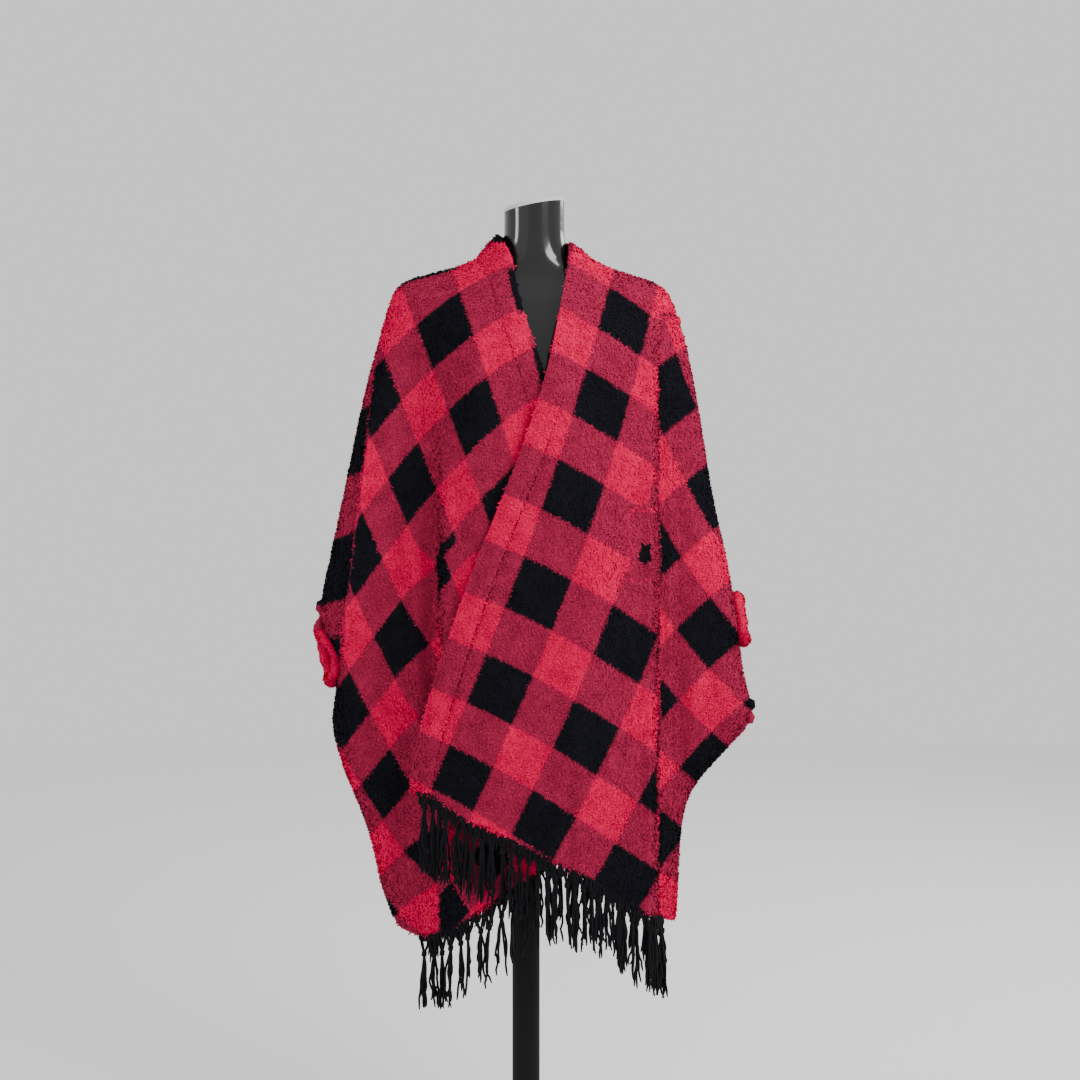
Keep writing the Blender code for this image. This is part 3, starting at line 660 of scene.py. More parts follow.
def band_mask(nodes: bpy.types.Nodes, links: bpy.types.NodeLinks, value: bpy.types.NodeSocket,
              softness: bpy.types.NodeSocket) -> bpy.types.NodeSocket:
    """Nodes that give 1 on a dark band and 0 between, with a soft edge.

    Args:
        nodes: the group's nodes.
        links: the group's links.
        value: the place in the repeat, across or down.
        softness: how soft the band's edge is.

    Returns:
        The mask's output.
    """
    turn = nodes.new("ShaderNodeMath")
    turn.operation = "MULTIPLY"
    turn.inputs[1].default_value = 2 * math.pi
    links.new(value, turn.inputs[0])
    wave = nodes.new("ShaderNodeMath")
    wave.operation = "COSINE"
    links.new(turn.outputs[0], wave.inputs[0])
    spread = nodes.new("ShaderNodeMath")
    spread.inputs[1].default_value = DARK_SPREAD
    links.new(wave.outputs[0], spread.inputs[0])
    low = nodes.new("ShaderNodeMath")
    low.operation = "MULTIPLY"
    low.inputs[1].default_value = -1
    links.new(softness, low.inputs[0])
    mask = nodes.new("ShaderNodeMapRange")
    mask.interpolation_type = "SMOOTHSTEP"
    links.new(spread.outputs[0], mask.inputs["Value"])
    links.new(low.outputs[0], mask.inputs["From Min"])
    links.new(softness, mask.inputs["From Max"])
    return mask.outputs["Result"]


def check_group() -> bpy.types.NodeTree:
    """The check: red where no dark band runs, mixed under one band, black under both."""
    known = bpy.data.node_groups.get("check_cloth")
    if known:
        return known
    color, number = "NodeSocketColor", "NodeSocketFloat"
    group = new_group("check_cloth", [
        ("Repeat", "NodeSocketVector", None), ("Red", color, (0.8, 0, 0, 1)),
        ("Mixed", color, (0.3, 0, 0, 1)), ("Black", color, (0, 0, 0, 1)),
        ("Softness", number, 0.1), ("Wobble", number, 0.03)], [("Color", color)])
    nodes, links = group.nodes, group.links
    entry, leave = nodes.new("NodeGroupInput"), nodes.new("NodeGroupOutput")
    place = nodes.new("ShaderNodeTexCoord")
    noise = nodes.new("ShaderNodeTexNoise")
    noise.inputs["Scale"].default_value = 260
    noise.inputs["Detail"].default_value = 2
    links.new(place.outputs["Object"], noise.inputs["Vector"])
    centred = nodes.new("ShaderNodeVectorMath")
    centred.operation = "SUBTRACT"
    centred.inputs[1].default_value = (0.5, 0.5, 0.5)
    links.new(noise.outputs["Color"], centred.inputs[0])
    scaled = nodes.new("ShaderNodeVectorMath")
    scaled.operation = "SCALE"
    links.new(centred.outputs[0], scaled.inputs[0])
    links.new(entry.outputs["Wobble"], scaled.inputs["Scale"])
    moved = nodes.new("ShaderNodeVectorMath")
    links.new(entry.outputs["Repeat"], moved.inputs[0])
    links.new(scaled.outputs[0], moved.inputs[1])
    parts = nodes.new("ShaderNodeSeparateXYZ")
    links.new(moved.outputs[0], parts.inputs[0])
    across = band_mask(nodes, links, parts.outputs["X"], entry.outputs["Softness"])
    down = band_mask(nodes, links, parts.outputs["Y"], entry.outputs["Softness"])
    either = nodes.new("ShaderNodeMath")
    either.operation = "MAXIMUM"
    both = nodes.new("ShaderNodeMath")
    both.operation = "MULTIPLY"
    for node in (either, both):
        links.new(across, node.inputs[0])
        links.new(down, node.inputs[1])
    first = nodes.new("ShaderNodeMix")
    first.data_type = "RGBA"
    links.new(either.outputs[0], first.inputs["Factor"])
    links.new(entry.outputs["Red"], first.inputs[6])
    links.new(entry.outputs["Mixed"], first.inputs[7])
    second = nodes.new("ShaderNodeMix")
    second.data_type = "RGBA"
    links.new(both.outputs[0], second.inputs["Factor"])
    links.new(first.outputs[2], second.inputs[6])
    links.new(entry.outputs["Black"], second.inputs[7])
    links.new(second.outputs[2], leave.inputs["Color"])
    return group


def pile_and_shade_group() -> bpy.types.NodeTree:
    """Clumped pile, with painted shade: darker between curls and toward the roots of the tufts, lighter at
    their tips; a random tone per tuft, a broad unevenness, and a height for the bump.
    """
    known = bpy.data.node_groups.get("pile")
    if known:
        return known
    color, number = "NodeSocketColor", "NodeSocketFloat"
    group = new_group("pile", [("Color", color, (1, 1, 1, 1)), ("Scale", number, 300.0),
                               ("Tone", "NodeSocketVector", None)],
                      [("Color", color), ("Height", number)])
    nodes, links = group.nodes, group.links
    entry, leave = nodes.new("NodeGroupInput"), nodes.new("NodeGroupOutput")
    place = nodes.new("ShaderNodeTexCoord")
    curls = nodes.new("ShaderNodeTexVoronoi")
    links.new(place.outputs["Object"], curls.inputs["Vector"])
    links.new(entry.outputs["Scale"], curls.inputs["Scale"])
    wear = nodes.new("ShaderNodeTexNoise")
    wear.inputs["Scale"].default_value = 45
    wear.inputs["Detail"].default_value = 3
    links.new(place.outputs["Object"], wear.inputs["Vector"])
    # Painted shade: the colour darkens away from each curl's middle, into the hollows between curls.
    near = nodes.new("ShaderNodeMapRange")
    near.inputs["From Max"].default_value = 0.75
    near.inputs["To Min"].default_value = 1.06
    near.inputs["To Max"].default_value = 0.9
    links.new(curls.outputs["Distance"], near.inputs["Value"])
    broad = nodes.new("ShaderNodeMapRange")
    broad.inputs["From Min"].default_value = 0.3
    broad.inputs["From Max"].default_value = 0.7
    broad.inputs["To Min"].default_value = 0.88
    broad.inputs["To Max"].default_value = 1.12
    links.new(wear.outputs["Fac"], broad.inputs["Value"])
    tone = nodes.new("ShaderNodeMath")
    tone.operation = "MULTIPLY"
    links.new(near.outputs["Result"], tone.inputs[0])
    links.new(broad.outputs["Result"], tone.inputs[1])
    split = nodes.new("ShaderNodeSeparateXYZ")
    links.new(entry.outputs["Tone"], split.inputs[0])
    tuft = nodes.new("ShaderNodeMapRange")
    tuft.inputs["To Min"].default_value = 0.9
    tuft.inputs["To Max"].default_value = 1.1
    links.new(split.outputs["X"], tuft.inputs["Value"])
    # Painted shade: the colour darkens toward the roots of the tufts.
    rise = nodes.new("ShaderNodeMapRange")
    rise.inputs["To Min"].default_value = 0.72
    rise.inputs["To Max"].default_value = 1.1
    links.new(split.outputs["Y"], rise.inputs["Value"])
    depth = nodes.new("ShaderNodeMath")
    depth.operation = "MULTIPLY"
    links.new(tuft.outputs["Result"], depth.inputs[0])
    links.new(rise.outputs["Result"], depth.inputs[1])
    shade = nodes.new("ShaderNodeMath")
    shade.operation = "MULTIPLY"
    links.new(tone.outputs[0], shade.inputs[0])
    links.new(depth.outputs[0], shade.inputs[1])
    tinted = nodes.new("ShaderNodeVectorMath")
    tinted.operation = "SCALE"
    links.new(entry.outputs["Color"], tinted.inputs[0])
    links.new(shade.outputs[0], tinted.inputs["Scale"])
    links.new(tinted.outputs[0], leave.inputs["Color"])
    links.new(near.outputs["Result"], leave.inputs["Height"])
    return group


def link_piece(name: str, mesh: bpy.types.Mesh, finish: bpy.types.Material) -> bpy.types.Object:
    """Makes a mesh a named piece at the origin, riding on the one body."""
    mesh.materials.append(finish)
    piece = bpy.data.objects.new(name, mesh)
    bpy.context.scene.collection.objects.link(piece)
    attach(piece, BODY)
    LOG.info("%s: %d faces", name, len(mesh.polygons))
    return piece


def sheet_mesh(name: str, grid: Array, repeat: Array, outward: Sequence[float]) -> bpy.types.Mesh:
    """Lays a flat grid over the drape and writes its check map.

    Args:
        name: the mesh's name.
        grid: the draped points, (rows, columns, 3).
        repeat: the check's coordinates at each point, (rows, columns, 2).
        outward: a direction on the outer side.

    Returns:
        The mesh, with its faces pointing outwards.
    """
    rows, columns = grid.shape[:2]
    builder = bmesh.new()
    bmesh.ops.create_grid(builder, x_segments=columns - 1, y_segments=rows - 1, size=0.5)
    points, charts = grid.reshape(-1, 3), repeat.reshape(-1, 2)
    chart = builder.loops.layers.uv.new("check")
    tone = builder.loops.layers.uv.new("tone")
    for index, vert in enumerate(builder.verts):
        vert.co = points[index]
    for face in builder.faces:
        for loop in face.loops:
            loop[chart].uv = charts[loop.vert.index]
            # The shell sits low in the pile, so the painted root shade darkens it.
            loop[tone].uv = (0.5, 0.25)
    builder.normal_update()
    builder.faces.ensure_lookup_table()
    middle = builder.faces[len(builder.faces) // 2 + columns // 2]
    if middle.normal.dot(Vector(outward)) < 0:
        bmesh.ops.reverse_faces(builder, faces=builder.faces[:])
    mesh = bpy.data.meshes.new(name)
    builder.to_mesh(mesh)
    builder.free()
    mesh.shade_smooth()
    return mesh


@dataclass(frozen=True)
class Pile:
    """Short curly tufts: blades that lean at random, with a little fall."""

    length: float = 5.0 * MM
    width: float = 2.4 * MM
    per_square_metre: float = 165000
    lean: float = 0.8
    fall: float = 0.5
    crispness: float = 0.35
    seed: int = 7

    def cover(self, name: str, grid: Array, normals: Array, repeat: Array, finish: bpy.types.Material,
              slot: str, share: float = 1.0) -> bpy.types.Object:
        """Covers a draped grid with tufts, as one joined mesh.

        Args:
            name: the piece's name.
            grid: the draped points.
            normals: their outward normals.
            repeat: the check's coordinates at each point.
            finish: the plush material.
            slot: not used.
            share: how dense the tufts are.

        Returns:
            The piece.
        """
        chance = np.random.default_rng(self.seed + len(name))
        across, down = grid[:-1, 1:] - grid[:-1, :-1], grid[1:, :-1] - grid[:-1, :-1]
        area = np.linalg.norm(np.cross(across, down), axis=-1)
        count = int(area.sum() * self.per_square_metre * share)
        cell = chance.choice(area.size, size=count, p=area.ravel() / area.sum())
        row, column = np.divmod(cell, area.shape[1])
        u, v = chance.random((2, count))[..., None]

        def blend(values: Array) -> Array:
            """Value inside each chosen cell."""
            top = values[row, column] * (1 - u) + values[row, column + 1] * u
            bottom = values[row + 1, column] * (1 - u) + values[row + 1, column + 1] * u
            return top * (1 - v) + bottom * v

        root, normal, chart = blend(grid), blend(normals), blend(repeat)
        sideways = chance.normal(size=(count, 3))
        sideways -= (sideways * normal).sum(1, keepdims=True) * normal
        sideways /= np.linalg.norm(sideways, axis=1, keepdims=True)
        swing = np.cross(normal, sideways)
        length = self.length * chance.uniform(0.6, 1.15, (count, 1))
        width = self.width * chance.uniform(0.6, 1.2, (count, 1))
        aim = normal + sideways * self.lean * chance.uniform(0.2, 1.3, (count, 1))
        aim[:, 2] -= self.fall * chance.uniform(0.2, 1.4, count)
        aim /= np.linalg.norm(aim, axis=1, keepdims=True)
        curl = sideways * length * chance.uniform(0.1, 0.5, (count, 1))
        base = root - normal * 0.5 * MM
        middle = base + aim * length * 0.55
        tip = base + aim * length + curl - normal * length * 0.15
        half = swing * width / 2
        points = np.stack([base - half * 0.8, base + half * 0.8, middle - half, middle + half, tip], axis=1)
        blade = np.array([(0, 1, 3), (0, 3, 2), (2, 3, 4)])
        faces = points[:, blade]
        facing = np.cross(faces[:, :, 1] - faces[:, :, 0], faces[:, :, 2] - faces[:, :, 0])
        turned = (facing * normal[:, None]).sum(-1) < 0
        order = np.where(turned[..., None], blade[:, ::-1], blade)
        corners = (np.arange(count)[:, None, None] * 5 + order).reshape(-1)
        mesh = bpy.data.meshes.new(name)
        mesh.vertices.add(count * 5)
        mesh.vertices.foreach_set("co", points.reshape(-1).astype(np.float32))
        mesh.loops.add(len(corners))
        mesh.loops.foreach_set("vertex_index", corners.astype(np.int32))
        mesh.polygons.add(len(corners) // 3)
        mesh.polygons.foreach_set("loop_start", np.arange(0, len(corners), 3, dtype=np.int32))
        mesh.update(calc_edges=True)
        layer = mesh.uv_layers.new(name="check")
        layer.data.foreach_set("uv", chart[corners // 5].reshape(-1).astype(np.float32))
        # Height along each blade, root to tip; the material darkens the roots with it as painted shade.
        rise = np.array((0.0, 0.0, 0.6, 0.6, 1.0))[corners % 5]
        tone = np.stack([chance.random(count)[corners // 5], rise], axis=-1)
        layer = mesh.uv_layers.new(name="tone")
        layer.data.foreach_set("uv", tone.reshape(-1).astype(np.float32))
        mesh.shade_smooth()
        soft = normal * (1 - self.crispness) + aim * self.crispness
        soft /= np.linalg.norm(soft, axis=1, keepdims=True)
        mesh.normals_split_custom_set_from_vertices(np.repeat(soft, 5, axis=0).tolist())
        return link_piece(name, mesh, finish)


@dataclass
class ClothPanel:
    """A panel of plush: a thin shell on the drape, its pile, and the cut it came from."""

    name: str
    node: str
    grid: Array
    outward: tuple
    repeat: Array
    flat: tuple
    slot: str = "plush"
    thickness: float = 3.5 * MM
    inset: float = 2.5 * MM
    pile: Pile = field(default_factory=Pile)
    pile_share: float = 1.0
    fold_allowance: float = 1.02

    def build(self, finish: bpy.types.Material, rests_on: Sequence[str],
              trims: Sequence[bpy.types.Object] = ()) -> bpy.types.Object:
        """Args:
            finish: the plush material.
            rests_on: not used.
            trims: not used.

        Returns:
            The shell.
        """
        normals = grid_normals(self.grid, self.outward)
        shell_grid = self.grid - normals * self.inset
        shell = link_piece(self.name, sheet_mesh(self.name, shell_grid, self.repeat, self.outward),
                           finish)
        solid = shell.modifiers.new("thickness", "SOLIDIFY")
        solid.thickness = self.thickness
        solid.offset = -1
        tufts = self.pile.cover(f"{self.name}_pile", shell_grid, normals, self.repeat, finish, self.slot,
                                self.pile_share)
        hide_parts(self.node)
        return shell


@dataclass
class Front:
    """One front: its edge band, its panel and the line that they hang from."""

    side: Side
    edges: Sequence[EdgeRow]
    shoulder: Sequence[Point]
    side_line: Sequence[Point]
    opening: Opening
    hem: Sequence[Point]
    pleats: Sequence[PleatRow]
    folds: Sequence[FoldRow]
    row_count: int = 150
    band_columns: int = 9
    panel_columns: int = 104
    band_puff: float = 2.2 * MM
    groove: float = 1.8 * MM
    groove_width: float = 6.5 * MM
    groove_top: float = 1.12
    pleat_px: float = 438.0
    pleat_start_py: float = 538.0
    pixel: float = MM / 0.7
    rows: Array = field(init=False)
    grid: Array = field(init=False)

    def __post_init__(self) -> None:
        """Lays the whole front out, band and panel in one grid."""
        self.rows = tight_ends(self.row_count, 0.12)
        across = 1 - tight_ends(self.panel_columns, 0.12)[::-1]
        free = along(rounded_line([(row.free_x, row.free_z) for row in self.edges]), self.rows)
        seam = along(rounded_line([(row.seam_x, row.seam_z) for row in self.edges]), self.rows)
        shoulder, hem = rounded_line(self.shoulder), rounded_line(self.hem)
        side_edge = DRAPE.side(rounded_line(self.side_line), self.opening, self.rows,
                               self.opening.front_notch)
        panel = coons(along(shoulder, across), along(hem, across), seam, side_edge, across, self.rows)
        blend = np.linspace(0, 1, self.band_columns + 1)[None, :-1, None]
        flat = np.concatenate([free[:, None] * (1 - blend) + seam[:, None] * blend, panel], axis=1)
        x, z = flat[..., 0], flat[..., 1]
        outline = np.vstack([free[:1], shoulder, side_edge[2::3], side_edge[-1:]])
        reach = smooth_step((np.linspace(0, 1, flat.shape[1]) - 0.55) / 0.3)[None]
        seam_depth = mix(DRAPE.seam_half_gap, DRAPE.gap(self.rows)[:, None], reach)
        depth = DRAPE.depth("front", x, z, self.pleats, self.folds, outline, seam_depth)
        if self.side is Side.OVER:
            depth = depth + DRAPE.lift(x, z)
        settled = smooth_step(self.rows / 0.03)[:, None]
        depth = depth + self.relief(flat, seam, free) * settled
        depth[0] = DRAPE.seam_half_gap
        depth[:, -1] = DRAPE.gap(self.rows)
        self.grid = np.stack([x, -depth, z], axis=-1)

    def relief(self, flat: Array, seam: Array, free: Array) -> Array:
        """The stitched groove beside the band, the band's crown and the plush's own unevenness.

        Args:
            flat: the front laid flat, (rows, columns, 2).
            seam: the band's seam, row by row.
            free: the band's free edge, row by row.

        Returns:
            How far each point stands out.
        """
        to_seam = np.linalg.norm(flat - seam[:, None], axis=-1)
        to_free = np.linalg.norm(flat - free[:, None], axis=-1)
        pucker = 1 + 0.35 * np.sin(flat[..., 1] * 310) * np.sin(flat[..., 1] * 97 + 1)
        seen = 1 - smooth_step((flat[..., 1] - self.groove_top) / 0.1)
        groove = -self.groove * seen * pucker * np.exp(-((to_seam / self.groove_width) ** 2))
        width = np.linalg.norm(seam - free, axis=-1)[:, None]
        in_band = np.clip(to_free / width, 0, 1)
        crown = self.band_puff * np.sin(np.pi * in_band) * (np.arange(flat.shape[1]) < self.band_columns)
        x, z = flat[..., 0], flat[..., 1]
        uneven = 0.9 * np.sin(x * 47 + 3 * np.sin(z * 13)) * np.sin(z * 31 + 1.3)
        uneven += 0.6 * np.sin(x * 93 - z * 61) * np.sin(z * 71 + x * 23)
        return groove + crown + uneven * MM

    def repeat(self) -> Array:
        """The check's coordinates over the whole front."""
        if self.side is Side.UNDER:
            return self.under_repeat()
        body, wing = CHART_OVER.place(self.grid), CHART_WING.place(self.grid)
        pixels = VIEW.pixels(self.grid)
        past = np.clip((pixels[..., 0] - 657) / 4, 0, 1) * np.clip((pixels[..., 1] - 300) / 30, 0, 1)
        chart = np.where(past[..., None] > 0.5, wing, body)
        # Painted sheen on the fold beside the pleat, laid over the check.
        for patch in PLEAT_SHEEN_PATCHES:
            patch.paint(pixels, chart)
        return chart

    def under_repeat(self) -> Array:
        pixels = VIEW.pixels(self.grid)
        px, py = pixels[..., 0], pixels[..., 1]
        step = np.where(px > self.pleat_px, 20, -10 * smooth_step((px - self.pleat_px) / 38 + 1))
        shift = step * self.pixel * smooth_step((py - self.pleat_start_py) / 20)
        shifted = self.grid + np.stack([shift, 0 * shift, 0 * shift], axis=-1)
        chart = turned_strip(pixels, CHART_UNDER.place(shifted))
        row, column = np.indices(px.shape)
        dark_edge = (column < 3) & (py > 268) & (py < 312)
        dark_shoulder = (row < 8) & (px > 409) & (px < 458)
        dark_collar = (column < self.band_columns) & (py < 242) & (px > 488)
        chart[dark_edge | dark_shoulder | dark_collar] = 0
        return chart

    def panels(self, flat: tuple, band_flat: tuple) -> list:
        """The band and the panel as pieces to build."""
        name, cut = self.side.value, self.band_columns
        repeat = self.repeat()
        outward = (0, -1, 0)
        return [
            ClothPanel(f"band_plush_{name}", f"band_{name}", self.grid[:, : cut + 1], outward,
                       repeat[:, : cut + 1], band_flat, "plush_band", inset=1.5 * MM),
            ClothPanel(f"front_plush_{name}", f"front_{name}", self.grid[:, cut:], outward,
                       repeat[:, cut:], flat),
        ]


def tight_ends(count: int, share: float) -> Array:
    """Shares from 0 to 1, drawn closer together near the start."""
    even = np.linspace(0, 1, count)
    return np.where(even < share * 2, even * even / (share * 4), even - share) / (1 - share)


@dataclass
class Back:
    """The back: shoulder to shoulder, with the neckline, falling in soft flutes."""

    row_count: int = 150
    column_count: int = 170
    neck_free_depth: float = 55 * MM
    neck_seam_depth: float = 82 * MM
    neck_dip: float = 8 * MM
    folds: Sequence[FoldRow] = ()
    grid: Array = field(init=False)

    def neck_path(self, turn: Array) -> list:
        """Free edge and seam of the neck band round the back of the neck."""
        share = (1 - np.cos(turn)) / 2
        under, over = EDGE_UNDER[0], EDGE_OVER[0]
        ends = (((under.free_x, under.free_z), (over.free_x, over.free_z), self.neck_free_depth, 0),
                ((under.seam_x, under.seam_z), (over.seam_x, over.seam_z), self.neck_seam_depth,
                 self.neck_dip))
        paths = []
        for left, right, depth, dip in ends:
            x = mix(left[0] * MM, right[0] * MM, share)
            z = mix(left[1] * MM, right[1] * MM, share) - dip * np.sin(turn)
            paths.append(np.stack([x, DRAPE.seam_half_gap + depth * np.sin(turn), z], axis=-1))
        return paths

    def __post_init__(self) -> None:
        """Lays the back out."""
        rows = tight_ends(self.row_count, 0.12)
        _, neckline = self.neck_path(np.linspace(0, np.pi, 49))
        left, right = rounded_line(SHOULDER_LEFT)[::-1], rounded_line(SHOULDER_RIGHT)
        flat_side = DRAPE.seam_half_gap
        top = np.vstack([np.insert(left[:-1], 1, flat_side, axis=1), neckline,
                         np.insert(right[1:], 1, flat_side, axis=1)])
        half = self.column_count // 2
        ramp = tight_ends(half + 1, 0.06) / 2
        across = np.concatenate([ramp[:-1], 1 - ramp[::-1]])
        top_x = mix(top[0, 0], top[-1, 0], across)
        upper = np.stack([np.interp(top_x, top[:, 0], top[:, axis]) for axis in range(3)], axis=-1)
        hem_line = rounded_line(HEM_BACK)
        hem_x = mix(hem_line[0, 0], hem_line[-1, 0], across)
        hem = np.stack([hem_x, np.interp(hem_x, hem_line[:, 0], hem_line[:, 1])], axis=-1)
        left_line, right_line = rounded_line(SIDE_LEFT), rounded_line(SIDE_RIGHT)
        left_edge = DRAPE.side(left_line, OPENING_LEFT, rows)
        right_edge = DRAPE.side(right_line, OPENING_RIGHT, rows)
        flat = coons(upper[:, [0, 2]], hem, left_edge, right_edge, across, rows)
        x, z = flat[..., 0], flat[..., 1]
        outline = np.vstack([left_line[::-1], top[1:-1, [0, 2]], right_line])
        at_top = np.interp(x, top[:, 0], top[:, 1])
        reach = smooth_step((np.abs(across - 0.5)[None, :] - 0.3) / 0.15)
        seam_depth = mix(at_top, DRAPE.gap(rows)[:, None], reach)
        depth = DRAPE.depth("back", x, z, [PleatRow(170, 0, 0, 0, 32)], self.folds, outline, seam_depth)
        uneven = 0.9 * np.sin(x * 43 + 3 * np.sin(z * 11)) * np.sin(z * 29)
        depth = depth + uneven * MM * smooth_step(rows / 0.05)[:, None]
        depth[0] = upper[:, 1]
        depth[:, 0] = depth[:, -1] = DRAPE.gap(rows)
        self.grid = np.stack([x, depth, z], axis=-1)

    def repeat(self) -> Array:
        period = 152 * MM
        x, z = self.grid[..., 0] - 10 * MM, self.grid[..., 2]
        wing = np.abs(x) / (300 * MM)
        across = x * (1 + 0.25 * wing ** 2) / period - 0.35 * np.sign(x) * wing * (1.2 - z) / period * 0.2
        down = (1.40 - z) / period - 1.15 * wing ** 2
        return np.stack([across + 0.5, down + 0.25], axis=-1)

    def panel(self) -> ClothPanel:
        """The back as a piece to build."""
        return ClothPanel("back_plush", "back_panel", self.grid, (0, 1, 0), self.repeat(), (0.80, 0.98),
                          pile=Pile(width=2.9 * MM), pile_share=0.61)

    def neck_band(self) -> ClothPanel:
        """The standing band round the back of the neck."""
        turn = np.linspace(0, np.pi, 61)
        free, seam = self.neck_path(turn)
        blend = np.linspace(0, 1, 11)[None, :, None]
        grid = free[:, None] * (1 - blend) + seam[:, None] * blend
        swell = np.sin(np.pi * blend[..., 0]) * 2 * MM
        grid[..., 2] += swell
        repeat = np.stack([blend[..., 0] * 0.2 + 0 * grid[..., 0], turn[:, None] * 0.62 + 0 * swell], axis=-1)
        return ClothPanel("band_plush_neck", "band_neck", grid, (0, 1, 0.4), repeat + 0.9,
                          (0.25, 0.04), "plush_band", inset=1.0 * MM, thickness=3 * MM)


@dataclass
class Cuff:
    """The rolled edge of a hand opening: a soft ring of plush, thick on one side."""

    name: str
    side_line: Sequence[Point]
    opening: Opening
    outward: int
    repeat_at: tuple
    radius: float = 9 * MM
    thin_radius: float = 5.5 * MM
    half_depth: float = 30 * MM
    clearance: float = 0.4 * MM
    turns: int = 97
    corners: int = 25
    tuck: float = 2.5 * MM
    puff: float = 1.0 * MM
    pile: Pile = Pile(length=3.6 * MM, per_square_metre=260000, seed=19)

    def build(self, finish: bpy.types.Material) -> None:
        """Makes the ring and its pile.

        Args:
            finish: the plush material.
        """
        line = rounded_line(self.side_line)
        heights = np.array(self.opening[:2]) * MM
        ends = np.stack([np.interp(heights, line[::-1, 1], line[::-1, 0]), heights], axis=-1)
        run = ends[1] - ends[0]
        half_length = float(np.linalg.norm(run)) / 2
        run = run / (2 * half_length)
        away = np.array((-run[1], run[0]))
        away = away * np.sign(away[0]) * self.outward
        inside = [float((point - ends[0]) @ away) for point in line if heights[1] <= point[1] <= heights[0]]
        centre = ends.mean(axis=0) + away * (max(inside + [0.0]) + self.clearance)
        turn = np.linspace(0, 2 * np.pi, self.turns)[:, None, None]
        corner = np.linspace(0, 2 * np.pi, self.corners)[None, :, None]
        along_run, axis = np.array((run[0], 0, run[1])), np.array((away[0], 0, away[1]))
        backwards, sideways = np.array((0, 1.0, 0)), np.array((float(self.outward), 0, 0))
        thick = smooth_step(0.5 + 0.75 * np.cos(turn - math.radians(self.opening.thick_turn * 0.5)))
        radius = mix(self.thin_radius, self.radius, thick)
        notch = self.opening.front_notch * MM * np.sin(np.pi * (1 - np.cos(turn)) / 2) * (np.sin(turn) < 0)
        spine = np.array((centre[0], 0, centre[1])) + along_run * half_length * np.cos(turn) \
            + backwards * self.half_depth * np.sin(turn) + axis * radius - sideways * notch
        spoke = along_run * np.cos(turn) / half_length + backwards * np.sin(turn) / self.half_depth
        spoke = spoke / np.linalg.norm(spoke, axis=-1, keepdims=True)
        lump = 1 + 0.09 * np.sin(turn * 5 + 1) + 0.05 * np.sin(turn * 11)
        normals = spoke * np.cos(corner) + axis * np.sin(corner)
        grid = spine - sideways * self.tuck + normals * (radius + self.puff) * lump
        flat = 0 * grid[..., 0]
        repeat = np.stack([self.repeat_at[0] + flat + 0.1 * np.sin(turn[..., 0]),
                           self.repeat_at[1] + flat + 0.1 * np.cos(turn[..., 0])], axis=-1)
        mesh = sheet_mesh(self.name, grid, repeat, (0, 0, 0))
        builder = bmesh.new()
        builder.from_mesh(mesh)
        bmesh.ops.remove_doubles(builder, verts=builder.verts[:], dist=0.01 * MM)
        bmesh.ops.recalc_face_normals(builder, faces=builder.faces[:])
        builder.to_mesh(mesh)
        builder.free()
        ring = link_piece(self.name, mesh, finish)
        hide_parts(self.name.replace("_roll", ""))
        self.pile.cover(f"{self.name}_pile", grid, normals + 0 * grid, repeat, finish, "plush")


@dataclass(frozen=True)
class Knotting:
    """How close a fringe is knotted: knot spacing, the net's drop, strands a knot, the heading's drop."""

    pitch: float
    net_drop: float
    strands: int
    heading_drop: float


THICK_FRINGE = Knotting(14 * MM, 20 * MM, 8, 19 * MM)
OPEN_FRINGE = Knotting(19 * MM, 26 * MM, 6, 9 * MM)


